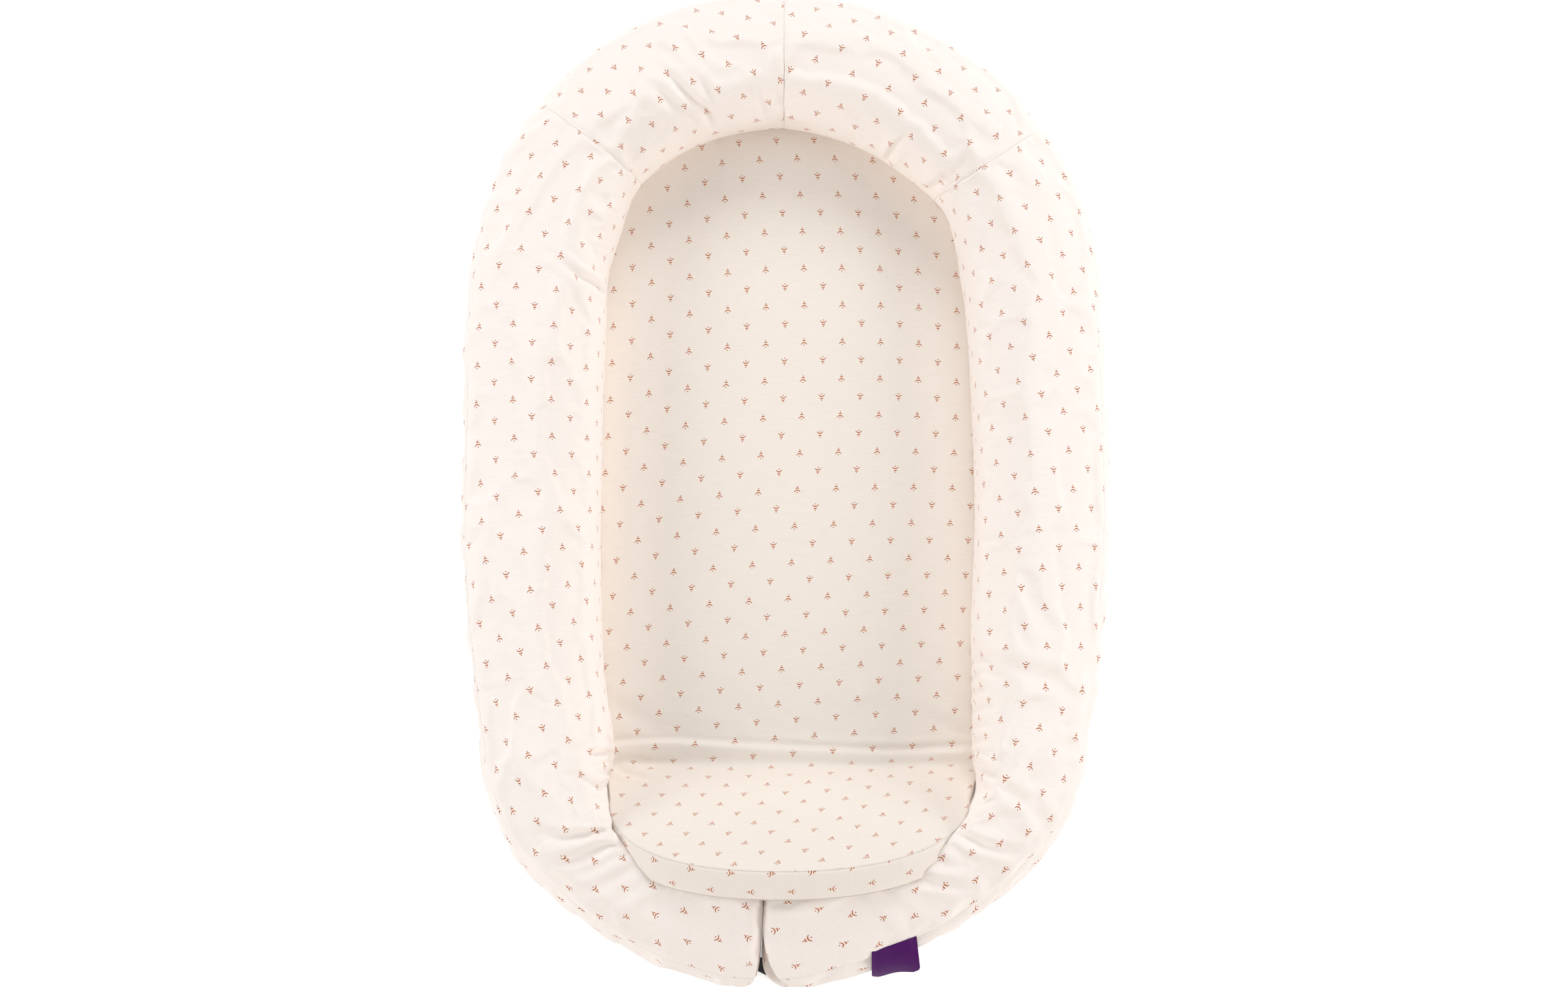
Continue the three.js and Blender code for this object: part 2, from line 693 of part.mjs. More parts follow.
function buckleSocket() {
  const half = buckleWidth / 2;
  const shell = solidOf(plate(roundedRectangle(mouth, socketEnd, half, buckleCorner), 0, buckleThickness));
  const cavityHalf = plugThickness / 2 + pieceGap;
  const [low, high] = [middleHeight - cavityHalf, middleHeight + cavityHalf];
  const deep = mouth + socketBody - socketWall;
  const cavityShape = polygon(rectangle(mouth - overrun, deep, half - socketWall));
  const cavity = solidOf(plate(cavityShape, low, high));
  const windowStart = mouth + windowFromMouth;
  const windowShape = polygon(rectangle(windowStart, windowStart + windowLength, half + overrun));
  const windows = solidOf(plate(windowShape, low, high));
  const slotStart = mouth + socketBody;
  const slotShape = polygon(rectangle(slotStart, slotStart + slotLength, strapWidth / 2 + pieceGap));
  const slot = solidOf(plate(slotShape, -overrun, buckleThickness + overrun));
  const recessShape = polygon(rectangle(slotStart, socketEnd + overrun, strapWidth / 2 + pieceGap));
  const barHalf = plugThickness / 2;
  const above = solidOf(plate(recessShape, middleHeight + barHalf, buckleThickness + overrun));
  const below = solidOf(plate(recessShape, -overrun, middleHeight - barHalf));
  const solid = [cavity, windows, slot, above, below].reduce((rest, cut) => rest.subtract(cut), shell);
  addMesh("buckle_socket", geometryOf(solid), "plastic", buckle);
}

// A strap end looped round a buckle bar and sewn to itself: direction -1 runs to the left
function strapLoop(barMiddle, direction) {
  const round = barLength / 2 + pieceGap;
  const inner = plugThickness / 2 + pieceGap;
  const tail = round + loopTail;
  const outside = [
    [tail, 2 * strapThickness - middleHeight], [tail, -middleHeight], [-round - strapThickness, -middleHeight],
    [-round - strapThickness, inner + strapThickness], [round + strapThickness, inner + strapThickness],
    [round + 2 * strapThickness, 2 * strapThickness - middleHeight],
  ];
  const hole = [
    [-round, -inner], [round, -inner], [round, inner], [-round, inner],
  ];
  const place = ([x, z]) => [barMiddle + direction * x, middleHeight + z];
  const shape = polygon(outside.map(place), [hole.map(place)]);
  return plate(shape, -strapWidth / 2, strapWidth / 2).rotateX(Math.PI / 2);
}

// A ribbon from a tab sewn on the tube's flank, twisting down flat to the buckle's line
function strapRibbon(side, tabFromEnd, joinAt) {
  const start = side.length - tabFromEnd - tabLength;
  const reach = strapWidth / (outerHalfWidth + bottomDrop);
  const tabPoint = (share, j, lift) => {
    const angle = tabAngle + reach * ((2 * j) / (ribbonCols - 1) - 1) * -side.mirror;
    return tubePoint(side, start + share * tabLength, angle, -lift);
  };
  const flat = (j, lift) => {
    const across = strapWidth * (j / (ribbonCols - 1) - 1 / 2);
    return buckle.localToWorld(new THREE.Vector3(joinAt, across, lift));
  };
  const rowPoint = (i, j, lift, flatLift) => {
    if (i < 2) return tabPoint(i, j, lift);
    const share = THREE.MathUtils.smoothstep(i - 1, 0, ribbonRows - 2);
    return tabPoint(1, j, lift).lerp(flat(j, flatLift), share);
  };
  const outer = (i, j) => rowPoint(i, j, tabGap + strapThickness, 0);
  const inner = (i, j) => rowPoint(i, j, tabGap, strapThickness);
  return sheetGeometry(ribbonRows, ribbonCols, outer, inner);
}

function straps() {
  const ends = [
    ["left", leftSide, leftTabFromEnd, plugStart + barLength / 2, -1],
    ["right", rightSide, rightTabFromEnd, socketEnd - barLength / 2, 1],
  ];
  for (const [word, side, tabFromEnd, barMiddle, direction] of ends) {
    const loop = strapLoop(barMiddle, direction);
    loop.applyMatrix4(buckle.matrixWorld);
    const joinAt = barMiddle + direction * (loopTail - strapThickness);
    const ribbon = strapRibbon(side, tabFromEnd, joinAt);
    addMesh(`strap_${word}`, geometryOf(solidOf(loop).add(solidOf(ribbon))), "webbing");
  }
}

// The bare woven tag, sewn into the outer seam and standing off the tube
function sideTag() {
  const distance = rightSide.length - tagFromEnd;
  const tag = new THREE.Group();
  tag.position.copy(tubePoint(rightSide, distance, outerSeamAngle, 0));
  tag.rotation.z = Math.PI - stationAt(rightSide, distance).heading;
  nest.add(tag);
  const shape = roundedRectangle(0, tagDrop, tagLength / 2, tagCorner);
  const cloth = plate(shape, 0, tagThickness);
  cloth.translate(tagThickness, 0, 0).rotateY(tagSlope).rotateZ(-Math.PI / 2);
  addMesh("side_tag", cloth, "tag", tag);
}

bumperCover();
bumperEnds();
bumperFilling();
basePanel();
pad();
flap();
padZip();
placeBuckle();
bucklePlug();
buckleSocket();
straps();
sideTag();

nest.updateMatrixWorld(true);
const footprint = new THREE.Box3().setFromObject(nest);
nest.position.y = -(footprint.min.y + footprint.max.y) / 2;

export default nest;
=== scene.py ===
# Baby nest: a stuffed ring, open at the foot, round a foam pad whose foot end folds up over the ring's ends.
import math
import bpy
import numpy as np
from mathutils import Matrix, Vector, noise


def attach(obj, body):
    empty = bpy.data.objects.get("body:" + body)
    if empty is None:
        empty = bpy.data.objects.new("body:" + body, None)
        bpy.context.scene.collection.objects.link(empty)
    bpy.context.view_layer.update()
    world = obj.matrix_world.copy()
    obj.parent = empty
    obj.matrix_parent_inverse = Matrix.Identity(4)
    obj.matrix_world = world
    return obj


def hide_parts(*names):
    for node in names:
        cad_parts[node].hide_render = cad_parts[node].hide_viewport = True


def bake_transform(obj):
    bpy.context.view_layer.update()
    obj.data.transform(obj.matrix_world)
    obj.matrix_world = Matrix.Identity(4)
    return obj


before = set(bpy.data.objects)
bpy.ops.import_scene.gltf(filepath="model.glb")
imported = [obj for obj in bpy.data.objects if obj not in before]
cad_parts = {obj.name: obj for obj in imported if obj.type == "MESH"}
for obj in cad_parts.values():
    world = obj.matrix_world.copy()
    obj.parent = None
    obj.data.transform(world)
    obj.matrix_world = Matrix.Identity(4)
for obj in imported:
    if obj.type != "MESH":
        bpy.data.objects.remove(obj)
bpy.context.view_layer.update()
deg = math.pi / 180
signs = {"left": -1, "right": 1}
camera = {
    "tilt": 10 * deg, "drop": 0.2 * deg, "distance": 2.0, "lens": 49.46, "sensor": 36, "clip": (0.05, 50),
}


def addObject(name, data):
    obj = bpy.data.objects.new(name, data)
    bpy.context.collection.objects.link(obj)
    return obj


def makeCamera():
    data = bpy.data.cameras.new("camera")
    data.sensor_width = camera["sensor"]
    data.lens = camera["lens"]
    data.clip_start, data.clip_end = camera["clip"]
    obj = addObject("camera", data)
    tilt = camera["tilt"]
    obj.location = (0, -camera["distance"] * math.sin(tilt), camera["distance"] * math.cos(tilt))
    obj.rotation_euler = (tilt - camera["drop"], 0, 0)
    bpy.context.scene.camera = obj


makeCamera()


# Small tools

def smooth(x):
    x = np.clip(x, 0, 1)
    return x * x * (3 - 2 * x)


def bell(x, width):
    return np.exp(-(x / width) ** 2)


def window(x, low, high, soft=0.02):
    # 1 between two places and 0 outside them, with soft ends
    return smooth((x - low) / soft) * smooth((high - x) / soft)


def between(start, end, share):
    return start * (1 - share) + end * share


def unit(vectors):
    return vectors / (np.linalg.norm(vectors, axis=-1, keepdims=True) + 1e-12)


def runOf(points):
    # how far along a line each of its points is
    return np.concatenate([[0], np.cumsum(np.linalg.norm(np.diff(points, axis=0), axis=1))])


def tableAt(table, places, unitSize=1000):
    # values of a hand-written table in millimetres, or in another unit, at places in metres
    known, values = np.array(table, float).T
    return np.interp(places, known / 1000, values / unitSize)


def rowsAt(places, known, rows):
    # rows of numbers, looked up between their known places
    return np.stack([np.interp(places, known, column) for column in rows.T], -1)


def blurred(field, reach, axis, wrap=False):
    # a soft average over neighbours along one axis
    kernel = np.exp(-np.linspace(-2, 2, 2 * reach + 1) ** 2 / 2)
    kernel /= kernel.sum()
    sides = [(reach, reach) if a == axis else (0, 0) for a in range(2)]
    padded = np.pad(field, sides, "wrap" if wrap else "edge")
    return np.apply_along_axis(lambda line: np.convolve(line, kernel, "valid"), axis, padded)


def noiseAt(x, y, scale, seed):
    shift = Vector((seed * 3.7, seed * 1.3, seed * 2.1))
    places = np.stack(np.broadcast_arrays(x, y), -1)
    values = [noise.noise(Vector((a, b, 0)) * scale + shift) for a, b in places.reshape(-1, 2).tolist()]
    return np.array(values).reshape(places.shape[:-1])


def lineLift(places, lines):
    # lift at each place from lines of (points, height, width) in millimetres; a groove gets soft shoulders
    lift = np.zeros(places.shape[:-1])
    for line, height, width in lines:
        line = np.array(line, float)
        run = runOf(line)
        best, share = np.full(lift.shape, 9.0), np.zeros(lift.shape)
        for start, end, done, reached in zip(line[:-1], line[1:], run[:-1], run[1:]):
            length = reached - done
            t = np.clip(((places - start) @ (end - start)) / length ** 2, 0, 1)
            away = np.linalg.norm(places - (start + t[..., None] * (end - start)), axis=-1)
            share = np.where(away < best, (done + t * length) / run[-1], share)
            best = np.minimum(best, away)
        away = best * 1000 / width
        profile = bell(away, 1) - (0.4 * bell(away - 2.1, 1.1) if height < 0 else 0)
        lift += height / 1000 * profile * np.sin(math.pi * np.clip(share, 0.03, 0.97)) ** 0.6
    return lift


def closedRound(grid):
    return np.concatenate([grid, grid[:, :1]], axis=1)


def quadsOf(index):
    return np.stack([index[:-1, :-1], index[1:, :-1], index[1:, 1:], index[:-1, 1:]], -1).reshape(-1, 4)


def gridMesh(name, points, uv, closed=False):
    # a mesh from a grid of points, with its cloth coordinates in metres as the UV map
    index = np.arange(points[..., 0].size).reshape(points.shape[:2])
    if closed:
        index = closedRound(index)
        uv = np.concatenate([uv, uv[:, -1:] + (uv[:, -1:] - uv[:, -2:-1])], axis=1)
    corners = quadsOf(np.arange(index.size).reshape(index.shape)).ravel()
    mesh = bpy.data.meshes.new(name)
    mesh.from_pydata(points.reshape(-1, 3).tolist(), [], quadsOf(index).tolist())
    layer = mesh.uv_layers.new(name="cloth")
    layer.data.foreach_set("uv", uv.reshape(-1, 2)[corners].astype(np.float32).ravel())
    mesh.update()
    return mesh


def addPiece(mesh, material, body=None, nodes=(), level=1):
    # an object with its material, its place on a body, the nodes it stands for and a fine subdivision
    obj = addObject(mesh.name, mesh)
    mesh.materials.append(finish[material])
    for polygon in mesh.polygons:
        polygon.use_smooth = True
    if level:
        modifier = obj.modifiers.new("fine", "SUBSURF")
        modifier.levels = modifier.render_levels = level
        modifier.boundary_smooth = "PRESERVE_CORNERS"
    if body:
        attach(obj, body)
    if nodes:
        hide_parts(*nodes)
    return obj


def srgb(r, g, b):
    return tuple(((c / 255 + 0.055) / 1.055) ** 2.4 if c > 10 else c / 255 / 12.92 for c in (r, g, b)) + (1,)


def darker(colour, share):
    return tuple(c * share for c in colour[:3]) + (1,)


# Shader values, which reckon like numbers and add a node for each step

class Value:
    def __init__(self, socket):
        self.socket = socket
        self.tree = socket.id_data

    def __add__(self, other):
        return calc("ADD", self, other)

    def __sub__(self, other):
        return calc("SUBTRACT", self, other)

    def __rsub__(self, other):
        return calc("SUBTRACT", other, self)

    def __mul__(self, other):
        return calc("MULTIPLY", self, other)

    def __rtruediv__(self, other):
        return calc("DIVIDE", other, self)

    def __abs__(self):
        return calc("ABSOLUTE", self)

    def sine(self):
        return calc("SINE", self)

    def fade(self, low, high):
        inputs = {"Value": self, "From Min": low, "From Max": high}
        node = addNode(self.tree, "MapRange", inputs, interpolation_type="SMOOTHSTEP")
        return Value(node.outputs["Result"])

    def noise(self, **inputs):
        return Value(addNode(self.tree, "TexNoise", {"Vector": self, **inputs}).outputs["Fac"])

    def parts(self, scale):
        # the first two parts of a vector, each times a scale
        split = addNode(self.tree, "SeparateXYZ", {0: self})
        return [Value(split.outputs[axis]) * scale for axis in "XY"]


def feed(socket, value):
    if isinstance(value, Value):
        socket.id_data.links.new(value.socket, socket)
    else:
        socket.default_value = value


def addNode(tree, kind, inputs, **settings):
    node = tree.nodes.new("ShaderNode" + kind)
    for name, value in settings.items():
        setattr(node, name, value)
    for name, value in inputs.items():
        feed(node.inputs[name], value)
    return node


def calc(operation, *values, clamp=False):
    tree = next(value.tree for value in values if isinstance(value, Value))
    node = addNode(tree, "Math", dict(enumerate(values)), operation=operation, use_clamp=clamp)
    return Value(node.outputs[0])


# Shader groups: each takes a place in metres and named numbers in millimetres

sprig = {
    "dots": [(3.0, 0.5), (-2.85, 0.55)], "arcs": [(-0.45, 0.205, 2.85), (1.6, 0.3, 1.4)], "soft": 0.1,
    "speckle": 1800.0, "leastInk": 0.72,
}


def sprigPrint(cloth, across, row, stroke):
    # two rows of sprigs, each a dot, a wide arc, a short arc and a dot, with every other row upside down
    x, y = cloth.parts(1000.0)
    height = calc("DIVIDE", y, row)
    line = calc("FLOOR", height)
    odd = calc("FLOORED_MODULO", line, 2.0)
    half = across * 0.5
    u = calc("WRAP", x + odd * half, half, half * -1.0)
    v = (height - line - 0.5) * row * (1.0 - odd * 2.0)
    squared = u * u
    soft = sprig["soft"]

    def dot(place, radius):
        rise = v - place
        return (radius - calc("SQRT", squared + rise * rise)).fade(-soft, soft)

    def arc(apex, bend, reach):
        away = abs(v - (apex - squared * bend))
        return (stroke - away).fade(-soft, soft) * (reach - abs(u)).fade(-soft, soft)

    first, *others = [dot(*values) for values in sprig["dots"]] + [arc(*values) for values in sprig["arcs"]]
    for part in others:
        first = calc("MAXIMUM", first, part)
    cover = cloth.noise(Scale=sprig["speckle"], Detail=1.0).fade(0.15, 0.5)
    return {"Ink": first * (cover * (1 - sprig["leastInk"]) + sprig["leastInk"])}


def jerseyKnit(cloth, wale):
    # fine knit: wales of small slanted loops, with a little slub from yarn to yarn
    x, y = cloth.parts(2000 * math.pi / wale)
    lean = abs((x * 0.5 + 0.785).sine()) * 2.4
    loop = (y * 1.2 + lean).sine()
    yarn = Value(addNode(cloth.tree, "Mapping", {"Vector": cloth, "Scale": (60, 900, 1)}).outputs[0])
    return {"Height": abs((x * 0.5).sine()) * 0.6 + loop * 0.25, "Slub": yarn.noise(Scale=1.0, Detail=3.0)}


def softCreases(place, scale):
    # the shallow unevenness of cloth over filling, or a fine grain
    return {"Height": place.noise(Scale=scale, Detail=3.0, Roughness=0.45, Distortion=0.6)}


def ribWeave(cloth, rib):
    # flat webbing: small slanted ribs across the strap
    x, y = cloth.parts(2000 * math.pi / rib)
    bend = abs((y * 0.25).sine()) * 3.0
    return {"Height": abs((x * 0.5 + bend).sine()) * 0.7 + abs(y.sine()) * 0.3}


def makeGroup(build, place, numbers):
    # a node group with one vector input and named numbers; build gives its named outputs
    tree = bpy.data.node_groups.new(build.__name__, "ShaderNodeTree")
    tree.interface.new_socket(place, in_out="INPUT", socket_type="NodeSocketVector")
    for name, number in numbers.items():
        tree.interface.new_socket(name, in_out="INPUT", socket_type="NodeSocketFloat").default_value = number
    source = tree.nodes.new("NodeGroupInput")
    results = build(*[Value(source.outputs[name]) for name in (place, *numbers)])
    for name in results:
        tree.interface.new_socket(name, in_out="OUTPUT", socket_type="NodeSocketFloat")
    target = tree.nodes.new("NodeGroupOutput")
    for name, value in results.items():
        feed(target.inputs[name], value)
    return tree


groups = {
    "sprigPrint": makeGroup(sprigPrint, "Cloth", {"Across": 36.0, "Row": 16.85, "Stroke": 0.50}),
    "jerseyKnit": makeGroup(jerseyKnit, "Cloth", {"Wale": 0.9}),
    "softCreases": makeGroup(softCreases, "Place", {"Scale": 30.0}),
    "ribWeave": makeGroup(ribWeave, "Cloth", {"Rib": 1.6}),
}


# Materials

def newMaterial(name, colour, roughness, **values):
    material = bpy.data.materials.new(name)
    material.use_nodes = True
    material.diffuse_color = colour
    shader = material.node_tree.nodes["Principled BSDF"]
    for key, value in {"Base_Color": colour, "Roughness": roughness, **values}.items():
        shader.inputs[key.replace("_", " ")].default_value = value
    return material, material.node_tree, shader


def useGroup(tree, name, **inputs):
    node = addNode(tree, "Group", inputs, node_tree=groups[name])
    return {output.name: Value(output) for output in node.outputs}


def clothCoords(tree):
    return Value(addNode(tree, "UVMap", {}, uv_map="cloth").outputs["UV"])


def grainOf(tree, scale):
    place = Value(addNode(tree, "TexCoord", {}).outputs["Object"])
    return useGroup(tree, "softCreases", Place=place, Scale=scale)["Height"]


def mixColour(factor, first, second):
    # the numbers are the factor's and the two colours' sockets in a colour mix
    return Value(addNode(factor.tree, "Mix", {0: factor, 6: first, 7: second}, data_type="RGBA").outputs[2])


def addBump(shader, layers):
    # layers of height, strength and distance, chained into one normal
    for height, strength, distance in layers:
        bump = addNode(height.tree, "Bump", {"Strength": strength, "Distance": distance, "Height": height})
        for link in shader.inputs["Normal"].links:
            feed(bump.inputs["Normal"], Value(link.from_socket))
        feed(shader.inputs["Normal"], Value(bump.outputs["Normal"]))


# the pad's colour is the ring's cloth drawn darker: painted shade from the tubes round the pad
jersey = {
    "ring": srgb(247, 239, 233), "pad": srgb(240, 231, 222), "lining": srgb(240, 235, 228),
    "ink": srgb(180, 94, 34), "shadeShare": 0.965, "roughness": 0.92, "creaseScale": 28.0,
    "sheen": {"Sheen_Weight": 0.15, "Sheen_Roughness": 0.5, "Specular_IOR_Level": 0.25},
}


def printedJersey(name, colour, isPrinted=True):
    material, tree, shader = newMaterial(name, colour, jersey["roughness"], **jersey["sheen"])
    cloth = clothCoords(tree)
    knit = useGroup(tree, "jerseyKnit", Cloth=cloth)
    tone = mixColour(knit["Slub"].fade(0.25, 0.75), darker(colour, jersey["shadeShare"]), colour)
    if isPrinted:
        tone = mixColour(useGroup(tree, "sprigPrint", Cloth=cloth)["Ink"], tone, jersey["ink"])
    feed(shader.inputs["Base Color"], tone)
    addBump(shader, [(grainOf(tree, jersey["creaseScale"]), 0.35, 0.004), (knit["Height"], 0.22, 0.0003)])
    return material


def wovenMaterial(name, colour, rib, roughness, strength, gloss=0.4):
    material, tree, shader = newMaterial(name, colour, roughness, Specular_IOR_Level=gloss)
    weave = useGroup(tree, "ribWeave", Rib=rib, Cloth=clothCoords(tree))["Height"]
    # painted shade: the weave's low parts are drawn darker, down to 55% of the colour
    feed(shader.inputs["Base Color"], mixColour(weave, darker(colour, 0.55), colour))
    addBump(shader, [(weave, strength, 0.0004)])
    return material


def mouldedPlastic(name, colour):
    material, tree, shader = newMaterial(name, colour, 0.42)
    grain = grainOf(tree, 900.0)
    feed(shader.inputs["Roughness"], grain * 0.2 + 0.34)
    addBump(shader, [(grain, 0.3, 0.0001)])
    return material


def platedMetal(name, colour):
    material, tree, shader = newMaterial(name, colour, 0.3, Metallic=1.0)
    feed(shader.inputs["Roughness"], grainOf(tree, 600.0) * 0.25 + 0.2)
    return material


finish = {
    "ring": printedJersey("printedJerseyRing", jersey["ring"]),
    # the pad's material: the ring's cloth, with painted shade in its darker base colour
    "pad": printedJersey("printedJerseyPadPaintedShade", jersey["pad"]),
    "lining": printedJersey("plainLining", jersey["lining"], isPrinted=False),
    "webbing": wovenMaterial("blackWebbing", srgb(26, 25, 27), 1.9, 0.75, 0.8),
    "tag": wovenMaterial("purpleSatin", srgb(78, 14, 98), 0.5, 0.55, 0.3, gloss=0.12),
    "plastic": mouldedPlastic("blackAcetal", srgb(24, 24, 25)),
    "metal": platedMetal("nickelPlate", srgb(200, 200, 203)),
    "coil": printedJersey("zipCoil", srgb(233, 228, 220), isPrinted=False),
    "foam": printedJersey("padFoamGrain", srgb(238, 226, 186), isPrinted=False),
    "fibre": printedJersey("fibreFilling", srgb(240, 240, 238), isPrinted=False),
    "thread": wovenMaterial("seamThread", srgb(240, 230, 221), 0.5, 0.8, 0.3),
}
print("materials ready")


# The stuffed ring's middle line and its sections

ring = {
    "headY": 0.16425, "headRadius": 0.2265, "sideLength": 0.1865, "taperRadius": 1.075,
    "taperTurn": 12.5 * deg, "cornerRadius": 0.112, "cornerTurn": 35 * deg, "footRadius": 0.290,
    "endX": -0.018, "endSetback": 0.0078,
    "lean": -0.014, "leanFrom": 0.430, "leanTo": 0.600,
    "widest": 0.064, "rise": 0.064, "drop": 0.0655, "topPower": 2.08, "outerPower": 2.3,
    "seamTurn": {"left": 50 * deg, "right": 55 * deg}, "outerSeam": 32 * deg, "innerSeam": 240 * deg,
    "rowSpacing": 0.0038, "seamRows": [0, 0.0012, 0.003, 0.0056, 0.009, 0.013],
    "topCols": 60, "underCols": 36,
    # half widths outside and inside, at places along each side from the middle of the head
    "outer": {
        "left": [(0, 56), (60, 59), (110, 62), (200, 63.5), (260, 60.5), (305, 57.5), (350, 61), (400, 65),
                 (460, 63), (600, 63), (690, 61.5), (760, 63.5), (840, 66), (915, 64.5), (990, 61.5),
                 (1030, 60)],
        "right": [(0, 56), (50, 54.5), (95, 52.5), (145, 53), (185, 56), (240, 59), (330, 60), (400, 63),
                  (480, 65), (600, 64), (690, 62.5), (790, 61.5), (860, 61.5), (914, 62.5), (980, 60.5),
                  (1030, 60)],
    },
    "inner": {
        "left": [(0, 63.5), (52, 63.2), (103, 59.3), (150, 56.8), (201, 56), (231, 59.4), (266, 65),
                 (306, 64), (347, 63), (445, 62), (600, 60.5), (640, 58.5), (700, 54.5), (776, 52.5),
                 (808, 44), (838, 28), (862, 27), (900, 36), (1030, 48)],
        "right": [(0, 63.5), (53, 66), (109, 66.3), (172, 65), (216, 60), (234, 57), (275, 60.3),
                  (327, 62.6), (372, 58.5), (409, 55.8), (481, 54.4), (600, 54.4), (665, 52), (723, 44),
                  (765, 37), (795, 31), (820, 17), (842, 15), (880, 25), (930, 38), (1030, 48)],
    },
    "tableEnd": 1.03,
    # how full the tube is low on its inside: round at the head, steeper down the sides
    "innerPower": [(0, 2.0), (180, 2.05), (280, 2.6), (380, 4.0), (1030, 4.0)],
}


def makeSpine(sign):
    # runs of (start, centre, radius, heading) from the head to one end; the straight run has no radius
    segments, place, heading, length = [], np.array([0.0, ring["headRadius"]]), 0.0, 0.0

    def addArc(radius, turn):
        nonlocal place, heading, length
        centre = place - radius * np.array([math.sin(heading), math.cos(heading)])
        segments.append((length, centre, radius, heading))
        heading += turn
        place = centre + radius * np.array([math.sin(heading), math.cos(heading)])
        length += radius * turn

    addArc(ring["headRadius"], math.pi / 2)
    segments.append((length, place.copy(), None, heading))
    place = place - np.array([0, ring["sideLength"]])
    length += ring["sideLength"]
    addArc(ring["taperRadius"], ring["taperTurn"])
    addArc(ring["cornerRadius"], ring["cornerTurn"])
    footCentreX = place[0] - ring["footRadius"] * math.sin(heading)
    endX = sign * (ring["endX"] - ring["lean"]) + ring["endSetback"]
    addArc(ring["footRadius"], math.pi - math.asin((endX - footCentreX) / ring["footRadius"]) - heading)
    return segments, length


spines = {word: makeSpine(sign) for word, sign in signs.items()}


def spineAt(word, distances):
    segments = spines[word][0]
    starts = np.array([segment[0] for segment in segments])
    which = np.clip(np.searchsorted(starts, distances, side="right") - 1, 0, len(segments) - 1)
    x, y, heading = (np.zeros_like(distances) for _ in range(3))
    for k, (start, centre, radius, first) in enumerate(segments):
        here = which == k
        along = distances[here] - start
        angle = np.full_like(along, first) if radius is None else first + along / radius
        x[here] = centre[0] + (radius or 0) * np.sin(angle)
        y[here] = centre[1] - along if radius is None else centre[1] + radius * np.cos(angle)
        heading[here] = angle
    lean = ring["lean"] * smooth((-y - ring["leanFrom"]) / (ring["leanTo"] - ring["leanFrom"]))
    return signs[word] * x + lean, y + ring["headY"], heading


def ringRows(word):
    # places of the grid's rows, close together beside the seams across the tube
    length = spines[word][1]
    seam = ring["headRadius"] * ring["seamTurn"][word]
    near = np.array(ring["seamRows"])
    reach = near[-1]
    rows = list(near)
    for start, end in ((0, seam), (seam, length)):
        count = max(1, round((end - start - 2 * reach) / ring["rowSpacing"]))
        rows += [*np.linspace(start + reach, end - reach, count + 1)[1:]]
        rows += [*(end - near[-2::-1]), *(end + near[1:])]
    return np.array(rows[:1 - len(near)]), seam


def crossSection(angles, outer, inner, low):
    # the way out from the tube's middle: nearly round above, fuller below by the floor and the pad
    c, s = np.cos(angles), np.sin(angles)
    power = np.where(s >= 0, ring["topPower"], np.where(c >= 0, ring["outerPower"], low))
    share = (np.abs(c) ** power + np.abs(s) ** power) ** (-1 / power)
    across = share * c * np.where(c >= 0, outer, inner)
    return across, share * s * np.where(s >= 0, ring["rise"], ring["drop"])


def softWidth(side, word, distances, end):
    # the tube's half width on one side, with the corners of its table softened
    fine = np.linspace(0, end, 400)
    return np.interp(distances, fine, blurred(tableAt(ring[side][word], fine)[None, :], 9, 1)[0])


def tubeGrid(word):
    rows, seam = ringRows(word)
    length = spines[word][1]
    x, y, heading = spineAt(word, rows)
    outer, inner = [softWidth(side, word, rows, length)[:, None] for side in ("outer", "inner")]
    top = np.linspace(ring["outerSeam"], ring["innerSeam"], ring["topCols"] + 1)
    under = np.linspace(ring["innerSeam"], ring["outerSeam"] + 2 * math.pi, ring["underCols"] + 1)
    angles = np.concatenate([top, under[1:-1]])
    low = tableAt(ring["innerPower"], rows, 1)[:, None]
    across, up = crossSection(angles[None, :], outer, inner, low)
    outward = np.stack([np.sin(heading) * signs[word], np.cos(heading)], -1)
    middle = np.stack([x, y, np.full_like(x, ring["widest"])], -1)
    points = np.zeros((len(rows), len(angles), 3))
    points[..., :2] = middle[:, None, :2] + outward[:, None, :] * across[..., None]
    points[..., 2] = ring["widest"] + up
    return {"rows": rows, "seam": seam, "length": length, "angles": angles, "points": points,
            "middle": middle, "outward": outward}


# The pad's shape, unrolled: x across, y along, with the flap running on past the crease

